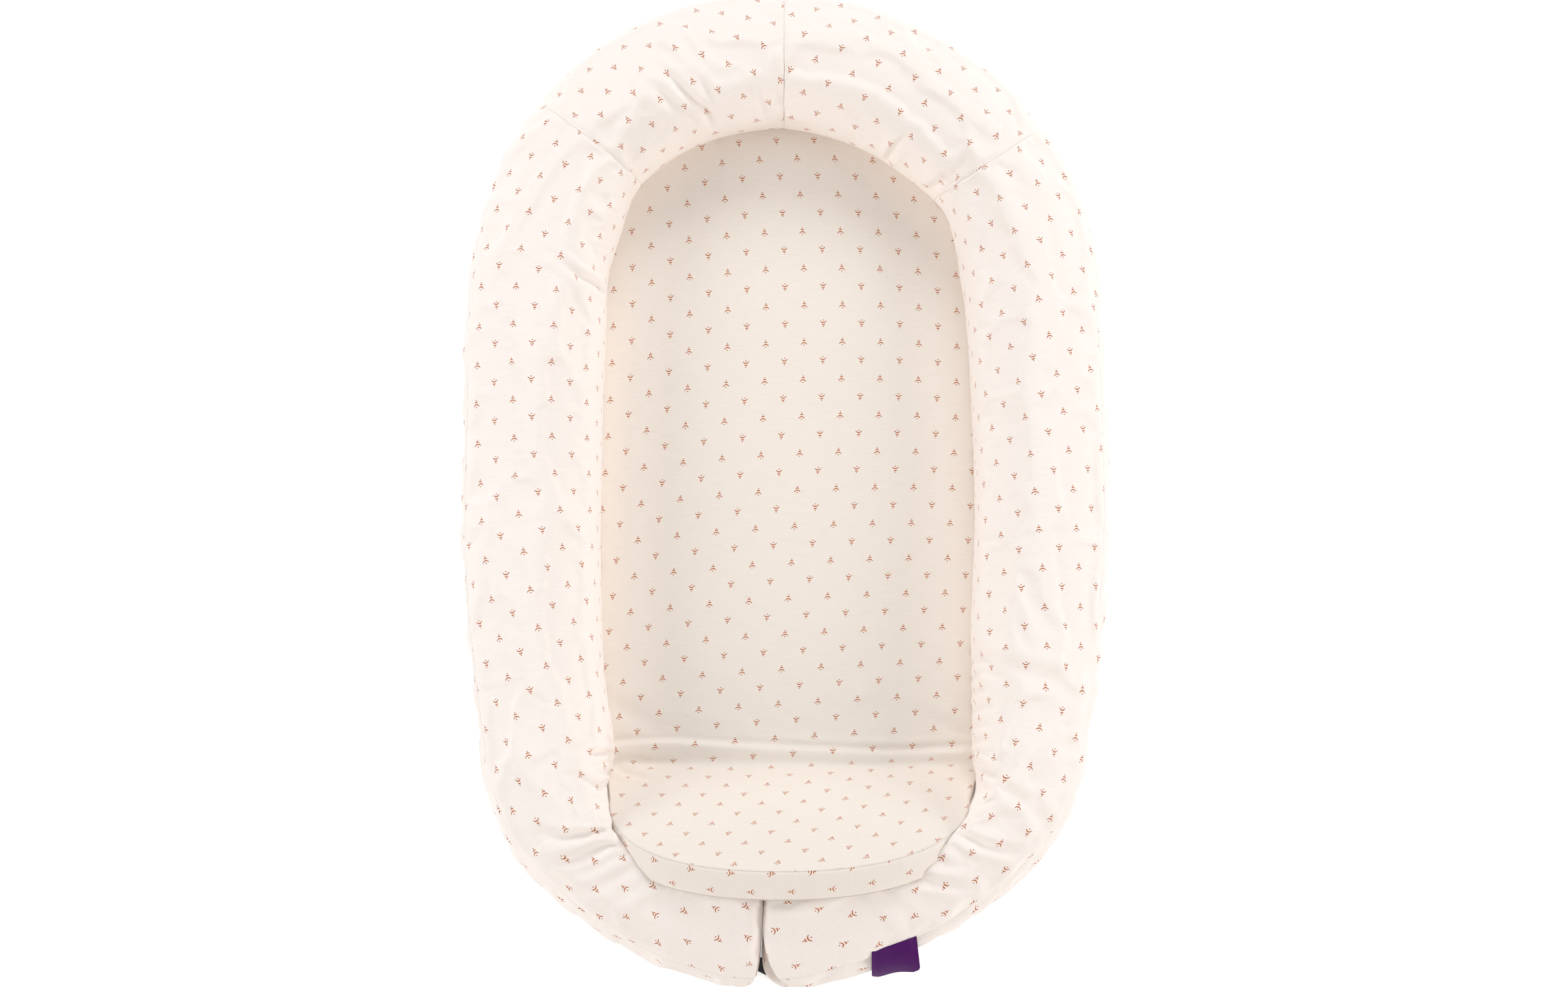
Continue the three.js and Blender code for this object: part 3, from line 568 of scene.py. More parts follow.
pad = {
    "bottom": 0.0035, "thickness": 0.030, "creaseY": -0.261, "flapLength": 0.1575, "flapStraight": 0.052,
    "slope": 53 * deg, "steeper": 12 * deg, "steepReach": 0.030, "foldLength": 0.018, "foldStart": 0.05,
    "crown": 0.0038, "crownReach": 0.030, "halfWidth": 0.16, "cols": 66, "colTurn": 0.86 * math.pi / 2,
    "capRows": 30, "flapRows": 22, "gussetRows": 8, "tuck": 0.0012, "edgeHeight": 0.0335, "sideEnd": 0.80,
    # rows down the sides before, over and after the crease: first and last place past it and their step
    "bands": [(0.42525, 0.034, 0.0053), (0.032, -0.036, 0.0017), (-0.038, -0.053, 0.0044)],
    "flapSides": {"left": [(-15, 161), (0, 159.5), (52, 150.5)],
                  "right": [(-15, 172.5), (0, 173), (14, 171.5), (52, 160)]},
    "flapPower": {"left": 2.4, "right": 2.15},
    # creases as places across and along (metres), height and width (millimetres)
    "folds": [
        ([(-0.152, -0.002), (-0.137, 0.014), (-0.114, 0.026)], -1.8, 4),
        ([(-0.152, -0.004), (-0.124, -0.0035), (-0.092, -0.001)], -1.6, 4),
        ([(-0.007, -0.027), (0.021, -0.0245), (0.056, -0.0225), (0.11, -0.022), (0.165, -0.027)], 1.3, 4),
        ([(0.112, -0.065), (0.144, -0.050), (0.172, -0.034)], 1.5, 6),
        ([(0.120, -0.046), (0.148, -0.038), (0.172, -0.026)], -1.3, 5),
        ([(-0.165, -0.063), (-0.137, -0.049), (-0.108, -0.036)], -1.0, 7),
        ([(-0.06, 0.010), (0.02, 0.015), (0.10, 0.012)], -0.7, 6),
    ],
}


def flapSlope(along):
    # the slope of the fold at a distance past the crease
    turned = smooth((along + pad["foldLength"] / 2) / pad["foldLength"])
    return turned * (pad["slope"] + pad["steeper"] * np.exp(-np.clip(along, 0, None) / pad["steepReach"]))


foldSteps = np.linspace(-pad["foldStart"], 0.22, 1351)
foldSlope = flapSlope(foldSteps)
foldMoves = np.stack([-np.cos(foldSlope), np.sin(foldSlope)])[:, :-1] * (foldSteps[1] - foldSteps[0])
foldY, foldZ = np.concatenate([np.zeros((2, 1)), np.cumsum(foldMoves, axis=1)], axis=1)
foldY += pad["creaseY"] + pad["foldStart"]
foldZ += pad["bottom"] + pad["thickness"]


def folded(x, y, depth):
    # an unrolled place at a depth under the top face, as a point of the folded pad
    along = pad["creaseY"] - y
    slope = np.interp(along, foldSteps, foldSlope, left=0)
    py = np.where(along > foldSteps[0], np.interp(along, foldSteps, foldY), y)
    pz = np.interp(along, foldSteps, foldZ)
    return np.stack([x, py - depth * np.sin(slope), pz - depth * np.cos(slope)], -1)


# where each place of the side view lies on the fold, looked up from a fine table
lookY, lookZ = np.linspace(-0.42, -0.20, 221), np.linspace(-0.01, 0.21, 221)
placeY, placeZ = np.meshgrid(lookY, lookZ, indexing="ij")
coarseY, coarseZ, coarseAlong, coarseSlope = foldY[::5], foldZ[::5], foldSteps[::5], foldSlope[::5]
nearest = ((placeY[..., None] - coarseY) ** 2 + (placeZ[..., None] - coarseZ) ** 2).argmin(-1)
lookAlong = coarseAlong[nearest]
lookDepth = ((coarseY[nearest] - placeY) * np.sin(coarseSlope[nearest])
             + (coarseZ[nearest] - placeZ) * np.cos(coarseSlope[nearest]))


def lookUp(table, y, z):
    i = np.clip((y - lookY[0]) / (lookY[1] - lookY[0]), 0, len(lookY) - 1.001)
    j = np.clip((z - lookZ[0]) / (lookZ[1] - lookZ[0]), 0, len(lookZ) - 1.001)
    a, b = i.astype(int), j.astype(int)
    low, high = [between(table[a, k], table[a + 1, k], i - a) for k in (b, b + 1)]
    return between(low, high, j - b)


def tubeInner(word, distances):
    # the tube's inner half width at the height of the pad's top edge
    power = tableAt(ring["innerPower"], distances, 1)
    level = (1 - ((ring["widest"] - pad["edgeHeight"]) / ring["drop"]) ** power) ** (1 / power)
    return softWidth("inner", word, distances, ring["tableEnd"]) * level


def padReach(word, turn):
    # how far the pad's edge is from the middle of the head, turning from straight up to the side
    return ring["headRadius"] - tubeInner(word, ring["headRadius"] * turn) + pad["tuck"]


def padSide(word, y):
    # the pad's half width down its side, from the tube beside it
    rows = np.linspace(ring["headRadius"] * math.pi / 2, pad["sideEnd"], 300)
    x, sy, heading = spineAt(word, rows)
    inner = tubeInner(word, rows)
    straight = np.interp(-y, np.cos(heading) * inner - sy, np.abs(x) - np.sin(heading) * inner + pad["tuck"])
    along = pad["creaseY"] - y
    return straight + (tableAt(pad["flapSides"][word], along) - straight) * smooth((along + 0.05) / 0.05)


def discPlace(across, share):
    return across * np.sqrt(1 - share ** 2 / 2), share * np.sqrt(1 - across ** 2 / 2)


def padOutlineGrid():
    # unrolled places of the top cover, and how near each one is to the edge
    across = np.sin(np.linspace(-1, 1, pad["cols"] + 1) * pad["colTurn"]) / math.sin(pad["colTurn"])
    isLeft = across < 0
    rows, nearness = [], []

    def addRow(x, y, near):
        rows.append(np.stack(np.broadcast_arrays(x, y), -1))
        nearness.append(near)

    for share in np.linspace(1, 0, pad["capRows"] + 1)[:-1]:
        dx, dy = discPlace(across, share)
        turn = np.arctan2(np.abs(dx), dy)
        reach = np.where(isLeft, padReach("left", turn), padReach("right", turn))
        addRow(dx * reach, ring["headY"] + dy * reach, np.hypot(dx, dy))
    for first, last, step in pad["bands"]:
        for y in np.arange(pad["creaseY"] + first, pad["creaseY"] + last, -step):
            half = np.where(isLeft, *[padSide(word, np.array([y])) for word in signs])
            addRow(across * half, y, np.abs(across))
    remaining = pad["flapLength"] - (pad["creaseY"] - y)
    power = np.where(isLeft, pad["flapPower"]["left"], pad["flapPower"]["right"])
    for share in np.linspace(0, 1, pad["flapRows"] + 1)[1:]:
        dx, dy = discPlace(across, share)
        radius = np.hypot(dx, dy)
        stretch = ((np.abs(dx) / radius) ** power + (dy / radius) ** power) ** (-1 / power)
        addRow(dx * stretch * half, y - dy * stretch * remaining, radius)
    return np.array(rows), np.array(nearness)


flat, nearness = padOutlineGrid()
edgeLoop = np.concatenate([flat[:, 0], flat[-1, 1:-1], flat[::-1, -1], flat[0, -2:0:-1]])
loopAlong = unit(np.roll(edgeLoop, -1, axis=0) - np.roll(edgeLoop, 1, axis=0))
loopOut = np.stack([loopAlong[:, 1], -loopAlong[:, 0]], -1)
loopLength = runOf(edgeLoop)


def flapOutside(x, along):
    # how far a place is outside the flap's outline, below nothing where it is inside
    y = pad["creaseY"] - np.minimum(along, pad["flapStraight"])
    half = np.where(x < 0, padSide("left", y), padSide("right", y))
    power = np.where(x < 0, pad["flapPower"]["left"], pad["flapPower"]["right"])
    past = np.clip((along - pad["flapStraight"]) / (pad["flapLength"] - pad["flapStraight"]), 0, None)
    level = ((np.abs(x) / half) ** power + past ** power) ** (1 / power)
    return (level - 1) * np.where(past > 0, 0.1, half)


# The pad's covers and foam

# the roll of cloth before the crease: across, along and height in millimetres, then its sides and groove
crest = {
    "line": [(-160, -18, 4.6), (-118, -21, 5.4), (-93, -21, 5.2), (-58, -19, 4.6), (-26, -17, 4.2),
             (0, -16, 4.0), (28, -14.5, 3.6), (63, -12.5, 3.2), (89, -11, 2.9), (120, -12, 3.0),
             (165, -14, 4.0)],
    "share": 0.75, "headSide": 0.0030, "footSide": 0.0100, "groove": 0.0009, "grooveBack": 0.0052,
    "grooveWidth": 0.0030, "wander": 0.0015, "ripple": 0.0016, "ripplePlace": -0.015, "rippleReach": 0.05,
}


def padTopLift():
    # crown towards the middle, and the folds beside the crease
    x, along = flat[..., 0], pad["creaseY"] - flat[..., 1]
    lift = pad["crown"] * (1 - np.exp(-(1 - nearness) * pad["halfWidth"] / pad["crownReach"]))
    line = np.array(crest["line"]) / 1000
    place, height = np.moveaxis(rowsAt(x, line[:, 0], line[:, 1:]), -1, 0)
    roll = along - place - crest["wander"] * noiseAt(x, 0, 14, 3)
    rise = np.where(roll < 0, bell(roll, crest["headSide"]), bell(roll, crest["footSide"]))
    lift += crest["share"] * height * rise
    lift -= crest["groove"] * bell(roll + crest["grooveBack"], crest["grooveWidth"])
    lift += lineLift(np.stack([x, along], -1), pad["folds"])
    fading = np.exp(-(np.abs(along - crest["ripplePlace"]) / crest["rippleReach"])) * (nearness > 0.2)
    return lift + crest["ripple"] * noiseAt(x * 14, along * 60, 1, 6) * fading


padLift = padTopLift()
gusset = {"bulge": 0.0022, "dip": 0.0011, "dipReach": 0.03, "zipX": -0.1582, "zipLean": 0.006 / 0.41,
          "zipFrom": -0.215, "zipTo": 0.165, "zipSoft": 0.14}


def edgePoints(marks, grow=0.0):
    # rings of points down the gusset, bulging between its two seams and straight where the zip lies
    out = []
    for mark in marks:
        bulge = gusset["bulge"] * math.sin(math.pi * mark) ** 0.6 if 0 < mark < 1 else 0
        dip = gusset["dip"] * (bell(mark, gusset["dipReach"]) + bell(1 - mark, gusset["dipReach"]))
        x, y = (edgeLoop + loopOut * (bulge - dip + grow)).T
        inZip = window(y, gusset["zipFrom"], gusset["zipTo"]) * (x < 0)
        inZip = inZip * window(mark, 0, 1, gusset["zipSoft"])
        line = gusset["zipX"] + gusset["zipLean"] * (ring["headY"] - y)
        out.append(folded(x + (line - x) * inZip, y, mark * pad["thickness"]))
    return np.array(out)


# how the print lies on the pad and the flap: from a sprig's place, the spacing, lean and rise of its rows
padPrint = {
    "anchor": (0.0183, 0.1985), "spread": 1.02, "lean": -0.10, "leanFrom": -0.20, "leanBend": 0.77,
    "pitch": 0.943, "pitchFrom": 0.29, "pitchBend": 0.635, "rise": -0.058, "riseTurn": 0.08,
    "arch": 0.28, "archTurn": 0.97, "column": 0.036, "row": 0.01685, "turn": (-0.012, 0.010),
}
flapPrint = {
    "anchor": (0.0168, 0.0629), "columnsOn": 1, "rowsOn": 32, "spread": 1.01, "lean": 0.06, "leanBend": 0.96,
    "pitch": 1.06, "pitchBend": 0.78, "rise": -0.095, "arch": -0.7,
}
gussetPrint = {"drift": 0.030, "driftFrom": 0.76, "across": -0.0035, "along": 0.0055}


def padCloth(x, y):
    shape = padPrint
    side = shape["spread"] * x + shape["lean"] * y + shape["leanBend"] / 3 * (y - shape["leanFrom"]) ** 3
    along = shape["pitch"] * y + shape["pitchBend"] / 3 * (y - shape["pitchFrom"]) ** 3
    rise, arch = shape["rise"] + shape["riseTurn"] * y, shape["arch"] + shape["archTurn"] * y
    along = along + rise * x + arch * x * x
    return np.stack([side, along], -1)


def flapCloth(x, past):
    shape = flapPrint
    side = shape["spread"] * x + shape["lean"] * past + shape["leanBend"] * past ** 2
    along = shape["pitch"] * past + shape["pitchBend"] * past ** 2
    along = shape["rise"] * x + shape["arch"] * x * x - along
    return np.stack([side, along], -1)


def flatCoords(xy):
    # cloth coordinates of the pad's covers, with the first sprig's row at half a row
    x, y = xy[..., 0], xy[..., 1]
    past = pad["creaseY"] - y
    whole = np.array([padPrint["column"] * flapPrint["columnsOn"], -padPrint["row"] * flapPrint["rowsOn"]])
    onPad = padCloth(x, y) - padCloth(*padPrint["anchor"])
    onFlap = flapCloth(x, past) - flapCloth(*flapPrint["anchor"]) + whole
    start, end = padPrint["turn"]
    share = smooth((past - start) / (end - start))[..., None]
    return between(onPad, onFlap, share) + np.array([0, padPrint["row"] / 2])


cover = {"flat": (0.345, 0.80), "share": 0.83, "gusset": (2.02, 0.032), "sag": 0.0012}
foam = {"share": 0.985, "topGap": 0.0045, "underGap": 0.0022, "crownShare": 0.7, "fill": 0.95}


def addPadPiece(name, points, coords, material, part, closed=False, level=1):
    # one piece over the pad and the flap, which bends across the crease
    mesh = gridMesh(name, points, coords, closed)
    piece = addPiece(mesh, material, None, ("pad_" + part, "flap_" + part), level)
    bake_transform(piece)
    return piece


def makePad():
    x, y = flat[..., 0], flat[..., 1]
    coords = flatCoords(flat)
    top = addPadPiece("padTopCover", folded(x, y, -padLift), coords, "pad", "cover_top")
    marks = np.concatenate([[0, 0.03, 0.075], np.linspace(0.15, 0.85, pad["gussetRows"]), [0.925, 0.97, 1]])
    drift = gussetPrint["drift"] * (loopLength - gussetPrint["driftFrom"]) + gussetPrint["across"]
    around = np.broadcast_arrays(marks[:, None] * pad["thickness"] + drift, loopLength + gussetPrint["along"])
    around = np.stack(around, -1)
    side = addPadPiece("padGusset", edgePoints(marks), around, "pad", "cover_side", closed=True)
    under = folded(x, y, pad["thickness"] - cover["sag"] * (1 - nearness ** 4))
    under = addPadPiece("padUnderCover", under[:, ::-1], coords[:, ::-1], "lining", "cover_bottom")
    inner = flat * foam["share"]
    x, y = inner[..., 0], inner[..., 1]
    high = folded(x, y, foam["topGap"] - np.clip(padLift, 0, None) * foam["crownShare"])
    low = folded(x, y, pad["thickness"] - foam["underGap"])
    shell, places = [np.concatenate([a, b[::-1], a[:1]]) for a, b in ((high, low), (inner, inner))]
    core = addPadPiece("padFoam", shell, places, "foam", "foam", level=0)


makePad()
print("pad ready")


# The ring: one grid for both halves, cut at the seams later

leftGrid, rightGrid = tubeGrid("left"), tubeGrid("right")
rowPlace = np.concatenate([-leftGrid["rows"][::-1], rightGrid["rows"][1:]])
straightPoints, ringMiddle, ringOut = [np.concatenate([leftGrid[key][::-1], rightGrid[key][1:]])
                                       for key in ("points", "middle", "outward")]
angles = leftGrid["angles"]
seamPlaces = [-leftGrid["length"], -leftGrid["seam"], 0.0, rightGrid["seam"], rightGrid["length"]]
innerCol = ring["topCols"]
# how far each seam across the tube bows away from the head, at turns round the tube (degrees, millimetres)
seamBow = {
    "left": [(24, 5.6), (50, 10.5), (76, 13), (108, 13), (144, 9), (184, 1), (200, 0), (330, 0),
             (392, 6.5)],
    "right": [(24, 9), (44, 13), (88, 17.6), (124, 17.6), (152, 13), (188, 3), (204, 0), (330, 0),
              (392, 10)],
    "reach": 0.09,
}


def bowedPlaces():
    places = np.repeat(rowPlace[:, None], len(angles), axis=1)
    for word, seam in (("left", seamPlaces[1]), ("right", seamPlaces[3])):
        near = 1 - smooth(np.abs(rowPlace - seam) / seamBow["reach"])
        turns, bows = np.array(seamBow[word]).T
        places += signs[word] * near[:, None] * np.interp(angles / deg, turns, bows / 1000)
    return places


def arcLengths(points):
    # round the tube from its ridge to each point
    step = np.linalg.norm(np.diff(closedRound(points), axis=1), axis=2)
    lengths = np.pad(np.cumsum(step, axis=1), ((0, 0), (1, 0)))
    ridge = int(np.argmin(np.abs(angles - math.pi / 2)))
    return lengths[:, ridge:ridge + 1] - lengths


ringPlace = bowedPlaces()
ringPoints = np.stack([rowsAt(place, rowPlace, line) for place, line in
                       zip(ringPlace.T, np.moveaxis(straightPoints, 1, 0))], 1)
tubeMiddle = rowsAt(ringPlace, rowPlace, ringMiddle)
ringArc = arcLengths(ringPoints)
roundTube = ringArc[:, :-1]
acrossSeam = np.min(np.abs(rowPlace[:, None] - np.array(seamPlaces[1:-1])), axis=1)[:, None]
outerSeam = np.minimum(np.abs(roundTube - ringArc[:, :1]), np.abs(roundTube - ringArc[:, -1:]))
innerSeam = np.abs(roundTube - ringArc[:, innerCol:innerCol + 1])


def pullIn(points, amount):
    # towards the tube's middle, by an amount at each point
    radial = points - tubeMiddle
    reach = np.linalg.norm(radial, axis=2, keepdims=True)
    return points - radial / np.maximum(reach, 1e-9) * np.minimum(amount[..., None], reach * 0.9)


press = {"gap": 0.0006, "leastShare": 0.2, "tries": 60, "from": 0.006, "past": 0.03, "soft": 2, "spare": 0.03}


def pressUnderFlap(points):
    # share of the way out from the tube's middle that keeps each point off the folded foot end
    radial = points - tubeMiddle
    best = np.ones(points.shape[:2])
    isOpen = np.ones(points.shape[:2], bool)
    for share in np.linspace(1, press["leastShare"], press["tries"]):
        place = tubeMiddle + radial * share
        along, depth = [lookUp(table, place[..., 1], place[..., 2]) for table in (lookAlong, lookDepth)]
        near = (along > press["from"]) & (along < pad["flapLength"] + press["past"])
        near &= depth < pad["thickness"] - press["gap"]
        inside = np.zeros_like(near)
        inside[near] = flapOutside(place[..., 0][near], along[near]) < -press["gap"]
        best = np.where(isOpen, share, best)
        isOpen &= inside
    spread = blurred(blurred(best, press["soft"], 0), press["soft"], 1, wrap=True)
    return np.minimum(spread, best + press["spare"])


ends = {
    "planeTop": (-0.0176, -0.3737), "planeFoot": (-0.0198, -0.4207), "gap": 0.0003, "reach": 0.075,
    "corner": {"left": 0.006, "right": 0.022}, "cornerTurn": 16 * deg, "cornerSpread": 31 * deg,
    "cornerReach": 0.052,
    # how far each end is pushed out at its outer side, at places back from it (millimetres)
    "outward": {"left": [(0, 6.5), (25, 7.5), (45, 5.5), (80, 3.2), (150, 0)],
                "right": [(0, 6), (22, 8), (45, 6.5), (70, 2.5), (100, 0)]},
    "seamSpread": 24 * deg, "draw": 0.0140, "drawReach": 0.0150, "dome": 0.0004,
    "capShares": [1, 0.965, 0.9, 0.8, 0.68, 0.54, 0.4, 0.26, 0.13, 0.02],
}


def closeEnds(points):
    # bring each end to the plane where they meet, round its outer corner and draw in the middle of its rim
    (x0, y0), (x1, y1) = ends["planeTop"], ends["planeFoot"]
    toCorner, toSeam = [np.minimum(np.abs(angles - turn), np.abs(angles - turn - 2 * math.pi))
                        for turn in (ends["cornerTurn"], ring["outerSeam"])]
    turned = bell(toCorner, ends["cornerSpread"])
    for word, sign in signs.items():
        rows = sign * rowPlace > 0
        part = points[rows]
        rim = part[0 if word == "left" else -1]
        toEnd = (spines[word][1] - np.abs(rowPlace[rows]))[:, None]
        meet = x0 + (x1 - x0) * (rim[:, 1] - y0) / (y1 - y0) + sign * ends["gap"]
        part[..., 0] += (meet - rim[:, 0]) * (1 - smooth(toEnd / ends["reach"]))
        back = (1 - np.clip(toEnd / ends["cornerReach"], 0, 1)) ** 2
        part[..., 0] += sign * ends["corner"][word] * turned * back
        part[..., 1] -= tableAt(ends["outward"][word], toEnd) * np.clip(np.cos(angles), 0, 1) ** 1.5
        points[rows] = part
    toEnd = np.minimum(rowPlace - seamPlaces[0], seamPlaces[-1] - rowPlace)[:, None]
    near = 1 - np.clip(toEnd / ends["drawReach"], 0, 1)
    depth = ends["draw"] * (1 - np.sqrt(1 - near ** 2)) * (1 - bell(toSeam, ends["seamSpread"]))
    drawnIn = pullIn(points, depth)
    drawnIn[..., 0] = points[..., 0]
    return drawnIn


seams = {
    "depth": 0.0017, "width": 0.0024, "drawDepth": 0.0024, "drawWidth": 0.022, "step": 0.0016,
    "stepWidth": 0.009, "longDepth": 0.0014, "longWidth": 0.0028, "padTurn": 172 * deg,
    "padSpread": 22 * deg, "padShare": 0.85, "underTurn": 300 * deg, "crownGap": 0.08,
}


def drawSeams(points):
    # the grooves at the seams, less deep beside the pad, and a small step down from the head panels
    beside = smooth((angles - seams["padTurn"]) / seams["padSpread"]) * (angles < seams["underTurn"])
    onHead = (rowPlace > seamPlaces[1]) & (rowPlace < seamPlaces[3]) & (np.abs(rowPlace) > seams["crownGap"])
    step = seams["step"] * np.exp(-acrossSeam / seams["stepWidth"]) * onHead[:, None] * (acrossSeam > 0.0006)
    across = seams["depth"] * bell(acrossSeam, seams["width"])
    across = across + seams["drawDepth"] * bell(acrossSeam, seams["drawWidth"])
    along = seams["longDepth"] * (bell(outerSeam, seams["longWidth"]) + bell(innerSeam, seams["longWidth"]))
    return pullIn(points, (across + step) * (1 - seams["padShare"] * beside) + along)


pucker = {
    "wide": 0.0016, "across": 0.0024, "acrossReach": 0.030, "along": 0.0022, "alongReach": 0.022,
    "start": 0.004,
}


def puckers():
    # short gathers that start at the seams and die out, and broad waves of the filling
    place = rowPlace[:, None]

    def beside(away, reach):
        return np.exp(-away / reach) * (1 - np.exp(-away / pucker["start"]))

    across = noiseAt(place * 8, roundTube * 55, 1, 2) * beside(acrossSeam, pucker["acrossReach"])
    longSeam = np.minimum(outerSeam, innerSeam)
    along = noiseAt(place * 60, roundTube * 10, 1, 5) * beside(longSeam, pucker["alongReach"])
    wide = noiseAt(place, roundTube, 9, 1)
    return pucker["wide"] * wide + pucker["across"] * across + pucker["along"] * along


# creases: places along the tube (metres) and turns round it (degrees), then height and width (millimetres)
folds = [
    ([(-0.826, 60), (-0.841, 72), (-0.855, 88), (-0.866, 112), (-0.870, 145)], -7.1, 3.4),
    ([(-0.844, 50), (-0.860, 68), (-0.869, 84), (-0.883, 106)], -7.1, 3.4),
    ([(-0.872, 40), (-0.878, 48), (-0.896, 76), (-0.915, 102)], -3.4, 5),
    ([(-0.895, 52), (-0.901, 64), (-0.924, 92), (-0.940, 104)], -2.0, 6),
    ([(-0.330, 102), (-0.335, 112), (-0.349, 134), (-0.353, 178)], -4.4, 4),
    ([(-0.772, 106), (-0.777, 116), (-0.786, 140), (-0.790, 192)], -3.1, 4),
    ([(-0.800, 104), (-0.804, 112), (-0.818, 132), (-0.829, 156)], -4.1, 4),
    ([(-0.814, 52), (-0.915, 60), (-0.979, 60), (-1.0108, 52)], 2.0, 9),
    ([(0.794, 168), (0.799, 142), (0.802, 120), (0.808, 98), (0.810, 80), (0.806, 64)], -6.5, 4),
    ([(0.835, 152), (0.831, 124), (0.824, 112), (0.820, 98)], -5.1, 3.2),
    ([(0.848, 152), (0.845, 112), (0.841, 98)], -3.7, 3),
    ([(0.865, 112), (0.859, 88), (0.854, 76), (0.845, 62), (0.838, 50)], -7.1, 3.4),
    ([(0.897, 104), (0.886, 80), (0.880, 70)], -3.7, 4),
    ([(0.920, 104), (0.909, 82), (0.893, 68), (0.880, 54)], -5.4, 4.2),
    ([(0.684, 178), (0.695, 150), (0.703, 128), (0.708, 96), (0.709, 76), (0.717, 54)], -3.7, 7),
    ([(0.706, 148), (0.722, 110)], -2.7, 5),
    ([(0.812, 72), (0.814, 46)], -2.0, 5),
    ([(0.948, 98), (0.932, 74), (0.928, 54)], -2.9, 5),
    ([(-0.094, 60), (-0.090, 78), (-0.087, 92), (-0.082, 104)], -3.2, 4),
    ([(-0.118, 90), (-0.115, 100), (-0.106, 126), (-0.095, 144), (-0.091, 160)], -4.6, 4),
    ([(-0.133, 96), (-0.129, 106), (-0.124, 124), (-0.114, 148)], -3.6, 4.5),
    ([(-0.088, 110), (-0.082, 140)], -2.5, 4),
    ([(-0.032, 120), (-0.022, 168)], -1.7, 5),
    ([(-0.009, 104), (-0.009, 152)], -1.7, 4),
    ([(0.143, 184), (0.147, 156), (0.155, 132)], -4.2, 4),
    ([(0.204, 184), (0.208, 152), (0.206, 120)], -4.2, 5),
]
ruche = {"height": 0.0022, "pitch": 0.0135, "wander": 2.5, "turn": 172 * deg, "spread": 30 * deg,
         "reaches": [(-0.835, -0.765), (0.68, 0.80)]}


def addFolds(points):
    # the drawn creases, and the short ruches beside the flap
    place, turn = np.broadcast_arrays(rowPlace[:, None], angles)
    scale = ring["widest"]
    lines = [([(s, a * deg * scale) for s, a in line], height, width) for line, height, width in folds]
    lift = lineLift(np.stack([place, turn * scale], -1), lines)
    wave = np.sin(2 * math.pi * place / ruche["pitch"] + ruche["wander"] * noiseAt(place, 0, 22, 8))
    for low, high in ruche["reaches"]:
        here = window(place, low, high) * bell(turn - ruche["turn"], ruche["spread"])
        lift += ruche["height"] * wave * here
    return pullIn(points, -lift)


zipRoom = {"depth": 0.0078, "height": 0.0185, "spread": 0.0095, "low": -0.215, "high": 0.160,
           "turns": (165 * deg, 262 * deg)}


def hollowForZip(points):
    # room low on the left tube's inside for the zip's pull to swing out
    x, y, z = np.moveaxis(points, -1, 0)
    low, high = zipRoom["turns"]
    inside = (x < 0) & (angles > low) & (angles < high)
    hollow = window(y, zipRoom["low"], zipRoom["high"]) * bell(z - zipRoom["height"], zipRoom["spread"])
    x -= zipRoom["depth"] * inside * hollow
    return points


def onFloor(points, least=0.0004):
    points[..., 2] = np.maximum(points[..., 2], least)
    return points


pressShare = pressUnderFlap(ringPoints)
ringPoints = drawSeams(closeEnds(tubeMiddle + (ringPoints - tubeMiddle) * pressShare[..., None]))
ringPoints = pullIn(ringPoints, puckers() * np.clip(pressShare * 2 - 1, 0, 1))
ringPoints = onFloor(hollowForZip(addFolds(ringPoints)))
print("ring grid ready", ringPoints.shape)

settling = {
    "frames": 16, "gain": 1.5, "cap": 0.0020, "soft": 9, "pinReach": 0.0008, "pinTurn": 135 * deg,
    "pinSpread": 50 * deg, "pinPress": 0.97, "pinFloor": 0.012,
}
clothValues = {
    "quality": 5, "mass": 0.12, "tension_stiffness": 12, "compression_stiffness": 12, "shear_stiffness": 4,
    "bending_stiffness": 0.25, "shrink_min": -0.02, "use_pressure": True, "uniform_pressure_force": 4.0,
    "vertex_group_mass": "held",
}


def clothPins():
    # how firmly each point is held: at the seams, under the flap, on the floor and beside the pad
    pins = np.zeros(ringPoints.shape[:2])
    pins[np.abs(rowPlace[:, None] - np.array(seamPlaces)).min(axis=1) < settling["pinReach"]] = 1
    pins[:, [0, innerCol]] = 1
    besidePad = smooth((angles - settling["pinTurn"]) / settling["pinSpread"]) * (angles < seams["underTurn"])
    underFlap = np.clip((settling["pinPress"] - pressShare) * 12, 0, 1)
    onGround = smooth((settling["pinFloor"] - ringPoints[..., 2]) / 0.008)
    return np.maximum.reduce([pins, underFlap, onGround, np.broadcast_to(besidePad, pins.shape)])


